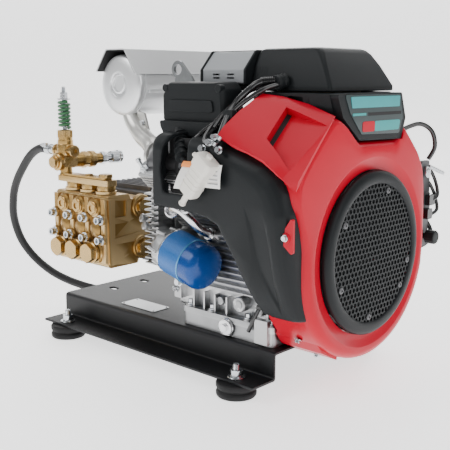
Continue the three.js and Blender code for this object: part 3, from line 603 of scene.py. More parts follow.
def cylinders():
    for where, side, x in BANKS:
        barrel = Form()
        barrel.turned(oblong(39.6, 46.5, 72.4, 175.6), (x, 0, SHAFT_Z),
                      bank(side, 0, 1, 0) - Vector((0, 0, SHAFT_Z)), 48, closed=True)
        slabs = Form()
        for i in range(10):
            r = 80 + i * 9.4
            bank_slab(slabs, side, x - 59, x + 59, r, r + 2.8, -57, 57, 16)
        hole = Form().bar(bank(side, x, 60, 0), bank(side, x, 190, 0), 43, CUT_EDGE, 48)
        piece("cylinder_fins_" + where, slabs, CAST, cuts=[hole], bevel=0.5)
        piece("cylinder_barrel_" + where, barrel, CAST, cad="cylinder_" + where)

        head = Form()
        bank_slab(head, side, x - 52, x + 54, 176.2, 207.6, -46, 46, 6)
        for i in range(5):
            r = 178 + i * 6.4
            bank_slab(head, side, x - 59, x + 59, r, r + 2.4, -55, 54, 7)
        for a in (-42, 42):
            for sx in (-1, 1):
                head.bar(bank(side, x + sx * 50, 176, a), bank(side, x + sx * 50, 207, a), 8)
        port = bank(side, x - 56, 192, 0)
        head.bar(port + Vector((-7.8, 0, 0)), port + Vector((6, 0, 0)), 19)
        drill = Form().bar(port + Vector((-10, 0, 0)), port + Vector((20, 0, 0)), 11, CUT_EDGE)
        piece("head_casting_" + where, head, CAST, cuts=[drill],
              cad="cylinder_head_" + where, bevel=0.5)

        lid = Form()
        rings = []
        for r, a in ((208.2, 38), (211, 39), (217, 38), (222, 34), (225, 28), (225.8, 18)):
            outline = fillet(oblong(x - a - 8, x + a + 8, -a, a), 12, 5)
            rings.append([bank(side, px, r, pa) for px, pa in outline])
        lid.loft(rings)
        bank_slab(lid, side, x - 49, x + 49, 208.2, 211, -42, 42, 10)
        piece("rocker_cover_" + where, lid, DARK_CAST,
              cad="head_cover_" + where, bevel=0.4)

        screws = Form()
        up = (bank(side, 0, 1, 0) - bank(side, 0, 0, 0)).normalized()
        for a in (-37, 37):
            for sx in (-1, 1):
                screws.nut(bank(side, x + sx * 43, 211, a), up, 9, 6, 7)
        for sx, a in ((-1, -30), (-1, 26)):
            end = bank(side, x - 59.5, 196, a)
            screws.nut(end, LEFT, 11, 7, 7.5)
        screws.nut(bank(side, x - 62, 118, 34), LEFT, 12, 7, 8)
        piece("cylinder_bolts_" + where, screws, ZINC)


def plug_and_elbow():
    """The spark plug of the near head and the bright elbow behind the oil filter."""
    tip = bank(-1, NEAR_X - 50, 200, 44)
    plug = Form().nut(tip, (-0.3, -0.35, 0.9), 12, 8, 8)
    plug.turned([(4.6, 8), (4.6, 12), (3.2, 13), (3.2, 22), (4.4, 23), (4.4, 27), (2.6, 28.5)],
                tip, (-0.3, -0.35, 0.9), 24)
    piece("spark_plug_near", plug, ZINC)
    elbow = Form().sweep([(62, -146, 268), (78, -156, 276), (98, -158, 273), (112, -152, 260),
                          (117, -138, 245), (118, -116, 233)], 7.5, 20, 8)
    elbow.bar((58, -144, 266), (66, -150, 270), 12, 1.5)
    elbow.bar((118, -120, 234), (118, -104, 227), 11, 1.5)
    for at in ((72, -160, 287), (90, -160, 284), (106, -157, 276)):
        elbow.turned([(8, 0), (8.6, 1), (8, 4.5), (5.5, 6.5)], at, (0.1, -0.7, 0.7), 28)
        elbow.bar(Vector(at) + Vector((0, 14, -14)), at, 5)
    piece("pipe_elbow", elbow, MACHINED)


def oil_filter():
    can = Form().turned([(30, 0.6), (34, 0.6), (36, 1.4), (37, 3), (37, 7)], FILTER_BASE, FILTER_DIR, 56)
    piece("oil_filter_seat", can, ZINC)
    grip = Form().turned([(36.4, 5), (37.3, 6), (37.3, 49), (36.6, 50)], FILTER_BASE, FILTER_DIR, 56)
    piece("oil_filter_grip", grip, BLUE_GRIP)
    ring = Form().turned([(36.4, 49), (38.2, 49.6), (38.8, 50.6), (38.2, 51.8), (36.4, 52.4)],
                         FILTER_BASE, FILTER_DIR, 56)
    piece("oil_filter_ring", ring, look("blue_ring", (0.1, 0.34, 0.62), 0.25, 0.3,
                                        grain=0.05, coat=0.5))
    flat = lambda a: 37.4 - 0.9 * abs(math.cos(a * 7)) ** 8
    nose = [(36.8, 52), (37.4, 53), (37.4, 69), (flat, 73), (36.2, 77.5), (33.6, 81.6), (30, 84.4),
            (24, 86.6), (16, 88.2), (8, 89.2), (1, 89.5)]
    end = Form().turned(nose, FILTER_BASE, FILTER_DIR, 84)
    piece("oil_filter_can", end, BLUE, cad="oil_filter")


# ------------------------------------------------------------------ fan housing
BADGE = [(-98, 458), (-82, 424), (-39, 390), (76, 387), (88, 419), (74, 458)]


def housing_radius(angle):
    """Distance from the shaft to the housing's edge in the YZ plane, angle in radians from +Y."""
    edge = [(163, 218), (162, 262), (159, 300), (152, 338), (136, 364), (113, 386), (95, 402), (86, 412),
            (76, 386), (-40, 388), (-83, 423), (-100, 427), (-116, 415), (-130, 402), (-158, 374),
            (-178, 351), (-185, 340), (-186, 309), (-174, 278), (-167, 248), (-166, 218)]
    edge += arc(0, SHAFT_Z, 166, 188, 345, 24)
    way = Vector((math.cos(angle), math.sin(angle)))
    best = 0.0
    for i, p in enumerate(edge):
        a = Vector(p) - Vector((0, SHAFT_Z))
        b = Vector(edge[(i + 1) % len(edge)]) - Vector((0, SHAFT_Z))
        span = b - a
        det = way.x * -span.y + way.y * span.x
        if abs(det) < 1e-9:
            continue
        t = (a.x * -span.y + a.y * span.x) / det
        s = (way.x * a.y - way.y * a.x) / det
        if -1e-6 <= s <= 1 + 1e-6 and t > best:
            best = t
    return best


def fan_housing():
    count = 240
    mouth_r = 148.0
    angles = [i / count * TAU for i in range(count)]
    reach = [housing_radius(a) for a in angles]
    for _ in range(2):
        reach = [(reach[i - 1] + 2 * reach[i] + reach[(i + 1) % count]) / 4 for i in range(count)]

    def around(x, radii):
        return [(x, math.cos(a) * k, SHAFT_Z + math.sin(a) * k) for a, k in zip(angles, radii)]

    def ring(x, inset=0.0):
        """The housing's own outline, drawn in by the inset."""
        return around(x, [r - inset for r in reach])

    def circle(x, radius):
        return around(x, [radius] * count)

    def between(x, share):
        """A line part of the way from the outline to the round mouth."""
        return around(x, [lerp(r, mouth_r, share) if r > mouth_r + 2 else mouth_r for r in reach])

    rings = [
        ring(262, inset=5), ring(262, inset=0.8), ring(263), ring(300), ring(330), ring(337, inset=0.8),
        ring(342, inset=3), ring(345.5, inset=6.5), ring(347.2, inset=10.5), between(347.8, 0.75),
        circle(348, 147), circle(347.4, 145), circle(344.5, 138), circle(342.4, 131), circle(342, 127),
        circle(336, 125), circle(336, 128), ring(340, inset=9),
        ring(336, inset=6), ring(300, inset=5),
    ]
    form = Form().loft(rings, closed=True)
    grow = 1.012  # the notch is this much larger than the badge in it
    notch = Form().prism("x", [(y * grow - 0.06, lerp(425, z, grow)) for y, z in BADGE], 200, 353)
    piece("fan_shroud", form, RED, cad="fan_housing", cuts=[notch], sharp=40)


def shroud_wing():
    """The corner of the shroud that runs out over the near duct, with its scoop."""
    wing = Form().hull([
        (216, -204, 399), (216, -190, 412), (240, -204, 389), (300, -204, 371), (333, -203, 348),
        (345, -188, 329), (346, -184, 344), (346, -130, 401), (345, -101, 427), (228, -119, 457),
        (255, -104, 453), (298, -100, 443), (226, -134, 450), (219, -160, 433), (217, -150, 400),
        (300, -110, 372), (300, -150, 340),
    ])
    rim = [Vector((273, -120, 439)), Vector((281, -175, 395)), Vector((355, -199, 347)),
           Vector((346, -116, 415))]
    up = (rim[1] - rim[0]).cross(rim[2] - rim[0]).normalized()
    if up.y > 0:
        up = -up
    mid = (rim[0] + rim[1] + rim[2] + rim[3]) / 4
    edge = [lerp(mid, p, 0.96) for p in rim]
    scoop = Form().hull([edge[0] + up * 14, edge[1] + up * 14, edge[2] + up * 14, edge[3] + up * 14,
                         edge[0] - up * 13, edge[1] - up * 13, edge[2] - up * 0.5, edge[3] - up * 0.5])
    under = Form().prism("y", [(190, 392), (205, 390.5), (246, 384.5), (275, 377), (300, 367.5), (320, 355),
                               (335, 343), (345, 330), (352, 318), (352, 290), (190, 290)], -230, -186)
    inside = Form().hull([
        (200, -199, 392), (240, -199, 382), (262, -185, 376), (262, -112, 432), (222, -118, 449),
        (252, -104, 445), (200, -110, 380), (262, -90, 340), (210, -150, 350), (205, -160, 428),
    ])
    piece("shroud_wing", wing, RED, cuts=[under, inside, scoop], bevel=2.4, segments=4, sharp=40)
    # A dark sheet set in the scoop's mouth: painted shade inside the inlet.
    mouth = Form().hull([edge[0] - up * 11.5, edge[1] - up * 11.5, edge[0] - up * 13.4,
                         edge[1] - up * 13.4, lerp(edge[0], edge[3], 0.16) - up * 11.6,
                         lerp(edge[1], edge[2], 0.16) - up * 11.6])
    piece("wing_inlet_painted_shade", mouth, DARK)


def shroud_fittings():
    tab = Form().prism("y", fillet([(322, 264), (344, 246), (347, 248), (347, 294), (343, 294)], 3),
                       -196, -191)
    tab.bar((336, -198, 268), (336, -192, 268), 7, 1)
    piece("shroud_tab", tab, RED, bevel=0.6)
    lip = Form().prism("x", fillet([(-112, 96), (-98, 78), (-60, 58), (-60, 66), (-94, 90),
                                    (-106, 106)], 3), 252, 330)
    piece("shroud_lip", lip, RED, bevel=0.8)
    screws = Form()
    screws.nut((336, -198, 268), FRONT, 7, 3, 5)
    for y, z in ((-70, 66), (-118, 100), (70, 66), (118, 100)):
        screws.nut((300, y, z - 1), (0, y * 0.004, -1), 8, 4, 6)
    piece("shroud_screws", screws, ZINC)


def fan_grille():
    sheet_x, pitch, limit, wall = 352.0, 9.2, 108.5, 2.2
    hole = pitch * 0.38
    row_step = pitch * 0.866
    mesh_form = Form()
    bm = mesh_form.bm
    store = {}

    def corner(y, z):
        key = (round(y * 20), round(z * 20))
        if key not in store:
            store[key] = bm.verts.new((sheet_x, y, SHAFT_Z + z))
        return store[key]

    rows = int(limit / row_step) + 1
    for row in range(-rows, rows + 1):
        for column in range(-rows - 2, rows + 3):
            y, z = (column + (row % 2) / 2) * pitch, row * row_step
            if math.hypot(y, z) > limit:
                continue
            outer, inner = [], []
            for k in range(12):
                a = math.radians(30 * k)
                r = pitch / math.sqrt(3) if k % 2 else pitch / 2
                outer.append(corner(y + math.cos(a) * r, z + math.sin(a) * r))
                inner.append(bm.verts.new((sheet_x, y + math.cos(a) * hole,
                                           SHAFT_Z + z + math.sin(a) * hole)))
            for k in range(12):
                j = (k + 1) % 12
                bm.faces.new((outer[k], outer[j], inner[j], inner[k]))
    sheet = mesh_object("fan_grille_mesh", mesh_form)
    thick = sheet.modifiers.new("thick", "SOLIDIFY")
    thick.thickness = wall * 0.001
    thick.offset = 0
    settle(sheet)
    hand_over(sheet, PLASTIC)

    # A solid dark disc behind the grille: painted shade seen through the grille's holes.
    shade_disc = Form().turned(oblong(1, 122, 0, 1.2), (339, 0, SHAFT_Z), RIGHT, 64, closed=True)
    piece("painted_shade_disc", shade_disc, DARK, body="crank")

    rim = Form().turned([(106, 350.4), (106, 353.4), (107.5, 354.6), (112, 355.6), (119, 355.2),
                         (123.5, 353.2), (125.8, 350.6), (126, 347), (124.5, 343.2), (121, 343.2),
                         (121, 349), (112, 350.4)],
                        (0, 0, SHAFT_Z), RIGHT, 120, closed=True)
    piece("grille_rim", rim, PLASTIC, cad="fan_grille", sharp=55)
    screws = Form()
    for degrees in (72, -15, 147, 205, 262, 320):
        screws.turned([(5.2, 0), (5.2, 1.2), (4.4, 2.2), (2.0, 2.6), (1.8, 1.6), (0.4, 1.4)],
                      round_shaft(352.8, 98, degrees), RIGHT, 24)
    piece("grille_screws", screws, DARK_CAST)


# ------------------------------------------------------------------ air ducts over the heads
def near_duct():
    """Moulded covers: a flat outer wall rolled over at the top and the fan end."""
    face = [(77, 299), (150, 293), (190, 287), (216, 270), (240, 226), (258, 186), (274, 158),
            (290, 139), (338, 137), (340, 300), (333, 328), (320, 350), (298, 365), (243, 382),
            (205, 392), (160, 398), (84, 399), (77, 394)]
    middle = Vector((230, 290))

    def bend(z):
        """How far the wall curls in under the head, below the middle of the cover."""
        t = max(0.0, (300 - z) / 160)
        return 45 * t * t

    def ring(y, top, end, low=0.0):
        """The cover's outline at one depth, drawn in from the top edge and the fan end."""
        out = []
        for x, z in fillet(face, 5, 3):
            out.append((x - (end if x > 300 else end * max(0, (x - 240) / 60)) + (low if x < 100 else 0),
                        y, z - (top if z > 330 else top * max(0, (z - 270) / 60))))
        return out

    def skin(points, grow):
        return [(lerp(middle.x, x, grow), y, lerp(middle.y, z, grow)) for x, y, z in points]

    rings = [ring(-112, 0, 0), ring(-176, 0, 0), ring(-188, 1.5, 1.5), ring(-196, 5, 5, 1),
             ring(-201, 10, 10, 2), ring(-204, 17, 17, 3.5), ring(-205, 25, 25, 5)]
    form = Form().loft(rings)
    hollow = Form().loft([skin(ring(-90, 4, 4, 4), 0.985), skin(ring(-176, 4, 4, 4), 0.975),
                          skin(ring(-190, 9, 9, 4), 0.97), skin(ring(-200, 20, 20, 6), 0.965)])
    window = Form().prism("y", fillet([(104, 309), (156, 309), (156, 412, 1), (122, 412, 1),
                                       (104, 380, 16), (98, 345, 30)], 6), -220, -150)
    below = Form().prism("y", [(50, 200), (160, 200), (160, 291), (60, 297.5), (50, 297.5)], -190, -80)
    cover = piece("duct_cover_near", form, PLASTIC, cad="air_duct_near",
                  cuts=[hollow, window, below, Form().box(60, 100, -172, -80, 285, 410)], soften=5,
                  sharp=70)
    for v in cover.data.vertices:
        v.co.y += bend(v.co.z * 1000) * 0.001

    # A dark plate and boss behind the duct's window: painted shade seen through the opening.
    ribs = Form()
    ribs.slab("y", 90, 164, 304, 390, -176, -172, 8)
    ribs.turned([(22, 0), (26, 2), (26, 5), (20, 6), (17, 2), (1, 1)], (132, -176, 344), FRONT, 40)
    piece("duct_window_painted_shade", ribs, DARK, bevel=0.4)


def far_duct():
    far = Form()
    shape = [(161, 400, 3), (190, 396, 10), (204, 386, 10), (205, 300, 30), (199, 250, 20), (188, 236, 2),
             (184, 237, 2), (195, 252, 20), (201, 300, 30), (200, 384, 6), (188, 392, 6), (161, 396, 2)]
    far.prism("x", fillet(shape, 4), 108, 256)
    piece("duct_cover_far", far, PLASTIC, cad="air_duct_far", bevel=1)


# ------------------------------------------------------------------ intake, breather, air cleaner
def carburettor():
    body = Form()
    body.prism("x", fillet([(-30, 352), (30, 352), (32, 380), (24, 412), (-24, 412), (-32, 380)], 6),
               78, 150)
    body.slab("x", -24, 24, 356, 400, 74, 79, 6)
    for side in (-1, 1):
        body.sweep([(104, side * 28, 397), (104, side * 58, 398), (104, side * 84, 394)], 10.5, 24, 6)
    body.bar((150, 0, 396), (177.6, 0, 396), 19.5, 1)
    body.bar((96, -20, 352), (96, -20, 358), 13)
    piece("carburettor_body", body, CAST, cad="carburettor", bevel=0.8)


def breather():
    face = [(44, 414), (52, 404), (168, 404), (180, 416), (176, 462), (166, 474), (58, 474), (44, 454)]
    centre = Vector((112, 438))

    def shell(y, grow):
        return [(lerp(centre.x, x, grow), y, lerp(centre.y, z, grow)) for x, z in fillet(face, 9, 4)]

    cover = Form().loft([shell(-104, 0.985), shell(-106, 1), shell(-136, 1), shell(-143, 0.985),
                         shell(-148, 0.95), shell(-150, 0.91)])
    cover.prism("y", fillet([(52, 404), (60, 391.5), (156, 391.5), (170, 404), (172, 414), (50, 414)],
                            5), -160, -146)
    cover.prism("y", fillet([(62, 428), (160, 428), (156, 446), (66, 446)], 6), -152.5, -146)
    for x in (54, 168):
        cover.bar((x, -151, 464), (x, -140, 464), 6)
    piece("breather_box", cover, PLASTIC, cad="breather_cover", bevel=1.8, segments=3)
    legs = Form()
    for x in (66, 150):
        legs.prism("x", fillet([(-126, 406), (-110, 406), (-108, 392), (-122, 392)], 2), x - 5, x + 5)
    legs.prism("x", fillet([(-104, 440), (-104, 452), (-92, 482), (-86, 482), (-86, 440)], 2), 90, 110)
    piece("breather_legs", legs, DARK_CAST, bevel=0.6)


def plug_cap():
    """The boot on the near spark plug and its lead."""
    cap = Form().turned([(11, 0), (13, 3), (13, 17), (11.5, 21), (7, 23), (3, 23.4)], (96, -150, 396),
                        (0.15, -0.45, -0.88), 32)
    cap.sweep([(90, -152, 400), (102, -164, 388), (118, -180, 374), (134, -192, 362)], 9.5, 20, 6)
    for k in range(5):
        at = lerp(Vector((98, -160, 392)), Vector((132, -190, 364)), k / 4)
        cap.turned([(9, -2.4), (11.4, -1.4), (11.4, 1.4), (9, 2.4)], at, (0.55, -0.5, -0.5), 28)
    cap.sweep([(134, -192, 362), (146, -196, 352), (158, -200, 350), (168, -206, 356)], 4.2, 14, 6)
    piece("plug_cap_near", cap, PLASTIC)


def louvre():
    panel = Form().prism("x", fillet([(-96, 472), (-96, 492, 4), (-70, 520, 6), (-58, 520), (-58, 514),
                                      (-68, 514), (-89, 491), (-89, 472)], 1.5, 3), 84, 172)
    panel.prism("x", fillet([(-60, 517), (-54, 503), (-54, 470), (-60, 470)], 1), 84, 172)
    panel.box(86, 170, -90, -58, 470, 476)
    holes = Form()
    for x in (106, 136):
        for z in (478, 483.5):
            holes.box(x, x + 15, -99, -86, z, z + 2.6)
    piece("louvre_grey", panel, GREY, cuts=[holes], cad="louvre_panel", bevel=0.5)
    ends = Form()
    for x0, x1 in ((80, 84.5), (171.5, 176)):
        ends.prism("x", fillet([(-98, 470), (-98, 492, 5), (-71, 522, 6), (-50, 522, 4), (-48, 470)],
                               3), x0, x1)
    ends.prism("x", fillet([(-62, 517), (-58, 522), (-30, 520), (-30, 508), (-56, 508)], 2), 84, 172)
    ends.box(84, 172, -86, -34, 460, 471)
    ends.box(84, 172, -56, -50, 470, 512)
    piece("louvre_ends", ends, PLASTIC, bevel=1)


def air_cleaner():
    def rect(x0, x1, y0, y1, z, r=7):
        return [(x, y, z) for x, y in fillet(oblong(x0, x1, y0, y1), r, 4)]

    cover = Form().loft([
        rect(176, 322, -84, 84, 459.6), rect(174, 324, -86, 86, 461), rect(174, 323.6, -86, 86, 468),
        rect(176, 308.5, -78.5, 72, 498), rect(178, 298, -72.5, 62.5, 515.5, 9),
        rect(180, 292, -69.5, 57.5, 521.2, 10), rect(184, 286, -65, 53, 523.4, 10),
        rect(200, 268, -50, 40, 524, 10),
    ])
    groove = Form().box(170, 330, -90, 90, 457, 459.9)
    inside = Form().loft([rect(180, 318, -80, 80, 450), rect(179, 319, -81, 81, 467),
                          rect(184, 287, -67, 53, 519)])
    piece("air_cleaner_lid", cover, PLASTIC, cad="air_cleaner_cover",
          cuts=[groove, inside], bevel=0.8, angle=25, sharp=30)
    grips = Form()
    for i in range(5):
        x = 183 + i * 5
        grips.hull([(x, -87, 463), (x + 2.6, -87, 463), (x, -79.4, 496), (x + 2.6, -79.4, 496),
                    (x, -80, 463), (x + 2.6, -80, 463), (x, -76, 496), (x + 2.6, -76, 496)])
    grips.prism("x", fillet([(-88, 461), (-88, 476), (-82, 484), (-78, 461)], 2), 214, 236)
    piece("lid_clips", grips, PLASTIC, bevel=0.5)


def air_cleaner_tray():
    base = Form()
    base.prism("x", fillet(BADGE, 5), 300, 345)
    base.slab("z", 178, 321, -84, 84, 426, 458.8, 6)
    base.prism("x", fillet([(-26, 384), (26, 384), (30, 430), (-30, 430)], 5), 178.3, 210)
    base.hull([(214, -84, 430), (300, -84, 430), (214, -84, 458), (300, -84, 458), (214, -104, 458),
               (300, -104, 458), (222, -104, 450), (300, -98, 436), (332, -98, 457), (332, -88, 430)])
    pocket = Form().prism("y", fillet([(258, 440), (286, 436), (289, 453), (262, 454)], 3), -120, -93)
    inner = Form().box(206, 312, -70, 70, 434, 470)
    drill = Form().bar((170, 0, 396), (220, 0, 396), 8, CUT_EDGE)
    piece("air_cleaner_tray", base, PLASTIC, cad="air_cleaner_base",
          cuts=[pocket, inner, drill], bevel=1.2)


def badge():
    """The panel on the air cleaner, with plain stripes in place of lettering."""
    panel = Form().prism("x", fillet([(-80, 456), (-66, 430), (-36, 399), (68, 396), (78, 420),
                                      (68, 456)], 4), 345, 346)
    piece("badge_plate", panel, look("dark_badge", (0.012, 0.03, 0.032), 0.3,
                                     grain=0.05, coat=0.3), bevel=0.3)
    band = Form().prism("x", fillet([(-62, 437), (66, 437), (66, 453), (-66, 453)], 1.5), 345.8, 346.7)
    piece("badge_band", band, look("silver_teal", (0.04, 0.34, 0.36), 0.3, 0.2, grain=0.04),
          bevel=0.2)
    stripes = Form().slab("x", -60, -26, 426, 429.5, 345.8, 346.6, 0.8)
    stripes.prism("x", fillet([(-2, 402), (66, 402), (70, 417), (-2, 417)], 4), 345.8, 346.5)
    piece("badge_stripe", stripes, TEAL, bevel=0.2)
    red_bar = Form().slab("x", -34, -2, 402, 417, 345.8, 346.6, 4)
    piece("badge_red_bar", red_bar, RED, bevel=0.2)
    # A flat dark bar where the badge has a slot: painted shade in the slot.
    slot_bar = Form().slab("x", -20, 72, 425, 430, 345.7, 346.4, 0.8)
    piece("badge_slot_painted_shade", slot_bar, DARK, bevel=0.2)


def loom():
    """Wiring and tubes that run down from the air cleaner to the fuel filter."""
    runs = [
        ([(236, -96, 476), (220, -112, 474), (206, -124, 462), (198, -148, 440), (206, -176, 416),
          (216, -200, 394), (214, -212, 384)], 5.2),
        ([(246, -92, 472), (232, -118, 464), (214, -142, 446), (206, -166, 426), (212, -190, 404),
          (220, -206, 392)], 3.6),
        ([(230, -98, 470), (208, -118, 462), (196, -136, 448), (190, -160, 428), (192, -184, 408)], 3.0),
        ([(176, -150, 420), (172, -168, 412), (166, -184, 400), (158, -192, 390)], 3.0),
        ([(200, -130, 456), (192, -150, 438), (182, -172, 416), (186, -196, 398), (196, -208, 388)], 2.6),
    ]
    form = Form()
    for points, r in runs:
        form.sweep(points, r, 16, 8)
    for k in range(9):
        at = lerp(Vector((236, -96, 476)), Vector((220, -112, 474)), k / 8)
        form.turned([(6.2, -0.9), (7.2, 0), (6.2, 0.9)], at, (-0.7, -0.7, -0.1), 20)
    piece("wiring", form, GLOSS_BLACK, cad="wiring_loom")
    collar = Form().turned([(9, -8), (11.5, -7), (11.5, -2), (10.4, -1), (10.4, 1), (11.5, 2),
                            (11.5, 8), (9, 9)], (241, -92, 474), (-0.35, -0.9, -0.25), 32)
    collar.box(196, 214, -170, -160, 416, 434)
    piece("loom_collar", collar, PLASTIC, bevel=0.6)
    clip = Form().box(204, 217, -186, -178, 402, 409)
    clip.bar((210, -188, 406), (210, -178, 406), 5)
    piece("loom_clip", clip, RED, bevel=0.8)
    clamps = Form()
    for at, way, r in (((214, -210, 388), (0.25, 0.55, 0.75), 7), ((204, -204, 388), (0.4, 0.5, 0.6), 5),
                       ((220, -206, 396), (0.25, 0.6, 0.7), 7)):
        clamps.turned([(r - 1, -3), (r, -2.6), (r, 2.6), (r - 1, 3)], at, way, 24)
        clamps.nut(Vector(at) + Vector((0, -r, 2)), (0.3, -0.8, 0.2), 6, 7, 4.6)
    clamps.nut((192, -207, 380), (0, -1, 0.2), 9, 5, 6)
    clamps.nut((226, -209, 380), (0, -1, 0.2), 8, 5, 6)
    piece("hose_clamps", clamps, ZINC)


def fuel_filter():
    low, high = Vector((162, -222, 298)), Vector((221, -222, 374))
    axis = (high - low).normalized() * 1.36
    across = Vector(FRONT).cross(axis).normalized()
    out = Vector(FRONT)

    def ring(t, half_width, half_depth, shift=0.0):
        pts = fillet(oblong(-half_width, half_width, -half_depth, half_depth),
                     min(half_width, half_depth) * 0.6, 4)
        return [low + axis * t + across * (a + shift) + out * (b - 1) for a, b in pts]

    form = Form().loft([ring(14, 4, 4), ring(15, 8, 7), ring(17, 13, 11), ring(20, 14, 12),
                        ring(51, 15, 12.6), ring(52, 17.5, 13.5), ring(63, 18, 13.5), ring(65, 16.5, 12.4),
                        ring(66, 9, 8)])
    form.bar(low, low + axis * 15, 4.6, 0.6)
    form.turned([(5.4, 2), (5.8, 3), (4.8, 5)], low, axis, 24)
    form.bar(low + axis * 64, low + axis * 70, 4.6, 0.6)
    form.bar(low + across * 20 + axis * 56, low + across * 26 + axis * 56, 3.4)
    for k in range(4):
        t = 28 + k * 6
        form.loft([ring(t, 15, 12.9), ring(t + 1, 15, 12.9)])
    form.box(188, 202, -212, -205.4, 330, 344)
    piece("fuel_filter_body", form, WHITE, cad="fuel_filter", bevel=0.4)

    def card(x0, x1, z0, z1, lean):
        """A paper card, bowed outwards and turned a little away from the camera."""
        middle, y, thick = (x0 + x1) / 2, -214, 0.5
        rows = []
        for k in range(7):
            share = k / 6
            z = lerp(z0, z1, share)
            bow = math.sin(share * math.pi) * 1.6
            left, right = x0 + (z - z0) * lean, x1 + (z - z0) * lean
            rows.append([(x, y + d - bow + (x - middle) * 0.08, z)
                         for x, d in ((left, 0), (right, 0), (right, thick), (left, thick))])
        return Form().loft(rows)

    piece("paper_tag_left", card(138, 163, 319, 352, 0.52), PAPER)
    piece("paper_tag_orange", card(155.5, 180.5, 352.2, 361, 0.52), ORANGE)
    piece("paper_tag_right", card(203, 230, 326, 360, 0.12), PAPER)
    lines = Form()
    for k in range(4):
        z = 332 + k * 6
        lines.box(209, 227, -216.6, -214, z, z + 1)
    piece("tag_rules", lines, GREY)


# ------------------------------------------------------------------ exhaust
SILENCER_X, SILENCER_Z = -88, 467


def silencer():
    x, z = SILENCER_X, SILENCER_Z
    body = Form().turned([(38, 4), (46, 5), (49.6, 8), (51, 13), (51, 260), (49.6, 264), (46, 266),
                          (38, 267)], (x, -125, z), BACK, 96)
    for at in (15, 249):
        body.turned([(50.6, at), (52.2, at + 0.6), (52.2, at + 6), (50.6, at + 6.6)], (x, -125, z),
                    BACK, 96)
    for side in (-1, 1):
        body.prism("y", fillet([(x + side * 48, z - 13), (x + side * 54, z - 12), (x + side * 54, z - 8),
                                (x + side * 48, z - 7)], 1), -103, 124)
    piece("silencer_body", body, ALUMINISED)
    for where, y0, way in (("front", -125, 1), ("back", 145, -1)):
        cap = Form().turned([(51.9, 14), (51.9, 9), (51, 5.4), (48.6, 2.6), (44, 0.6), (36, -1.2),
                             (25, -2.2), (21, -2.2), (19.6, -1.4), (18.4, 0.6), (16, 1.2), (1, 1.6)],
                            (x, y0, z), (0, way, 0), 96)
        piece("silencer_cap_" + where, cap, ALUMINISED)
    dimple = Form()
    dimple.turned([(18, 0), (17.4, -2.4), (14.6, -3.2), (13.4, -1.6), (12.4, 0.6), (1, 1)],
                  (x + 2, -125.6, z + 3), BACK, 48)
    piece("cap_dimple", dimple, ALUMINISED)


def exhaust_pipes():
    near, far = bank(-1, NEAR_X - 64, 192, 0), bank(1, FAR_X - 64, 192, 0)
    pipes = Form()
    pipes.sweep([(-90, -101, 444), (-80, -105, 414), (-56, -111, 391), (-30, -120, 379), (-6, -129, 371),
                 (6, near.y + 2, near.z + 9), (near.x - 4, near.y, near.z)], 15.4, 36, 8)
    pipes.sweep([(-84, 92, 446), (-76, 99, 424), (-64, 108, 402), (-38, 119, 378),
                 (-8, far.y - 3, far.z + 9), (24, far.y, far.z + 1), (far.x - 4, far.y, far.z)], 14.6,
                36, 8)
    for port in (near, far):
        pipes.turned([(20, -8), (22.5, -7), (22.5, -1.6), (21, -0.5)], port, RIGHT, 48)
        pipes.turned([(16.4, -12), (18.6, -10), (18.6, -8)], port, RIGHT, 48)
    pipes.prism("y", fillet([(-62, 424), (-44, 420), (-34, 392), (-40, 384), (-58, 396)], 2), -108, -104)
    piece("exhaust_pipes", pipes, PIPE, cad="muffler", sharp=50)
    studs = Form()
    for port in (near, far):
        for s in (-1, 1):
            studs.nut(port + Vector((-8.2, 0, s * 18.6)), LEFT, 9, 5.5, 6.5)
    studs.nut((-48, -108, 404), FRONT, 8, 4, 5.4)
    piece("exhaust_nuts", studs, ZINC)


def heat_shield():
    outer = [(-140, 491), (-112, 528), (-64, 528), (-35, 486)]
    inner = [(-36.8, 485.6), (-65, 526.2), (-111.2, 526.2), (-138.4, 490)]
    section = fillet([outer[0] + (0.3,), outer[1] + (4,), outer[2] + (4,), outer[3] + (0.3,),
                      inner[0] + (0.3,), inner[1] + (3,), inner[2] + (3,), inner[3] + (0.3,)], 0.3)
    shield = Form().prism("y", section, -133, 118)
    for y in (-95, 80):
        shield.turned([(6, 0), (6, 8.4)], (SILENCER_X, y, SILENCER_Z + 51.3), UP, 24)
    piece("muffler_shield", shield, ALUMINISED, cad="heat_shield", bevel=0.3)
    # Thin dark strips along the inside of the shield: painted shade under it.
    shade_strips = Form()
    rim = [(-137, 490.4), (-110.6, 525.4), (-65.6, 525.4), (-38.4, 487)]
    for a, b in zip(rim, rim[1:]):
        a, b = Vector(a), Vector(b)
        side = Vector((-(b - a).y, (b - a).x)).normalized() * -0.7
        shade_strips.prism("y", [tuple(a), tuple(b), tuple(b + side), tuple(a + side)], -132.4, 117.4)
    piece("shield_painted_shade", shade_strips, DARK)
    heads = Form()
    for y in (-95, 80):
        heads.turned([(7.4, 0), (7.2, 1), (5, 2), (1, 2.2)], (SILENCER_X, y, 525.8), UP, 28)
    piece("shield_screws", heads, ZINC)


def lifting_eye():
    plate = Form()
    outline = arc(32, 493, 14.2, 60, 245, 20)
    outline += [(24, 470), (29, 440), (33, 407), (82, 407), (76, 462), (62, 482)]
    plate.prism("y", fillet(outline, 0.1, 1), -101, -96.4)
    hole = Form().bar((32, -110, 493), (32, -90, 493), 8.6, CUT_EDGE, 48)
    piece("lifting_bracket", plate, EYE, cad="lifting_eye", cuts=[hole], bevel=1.1, segments=3)


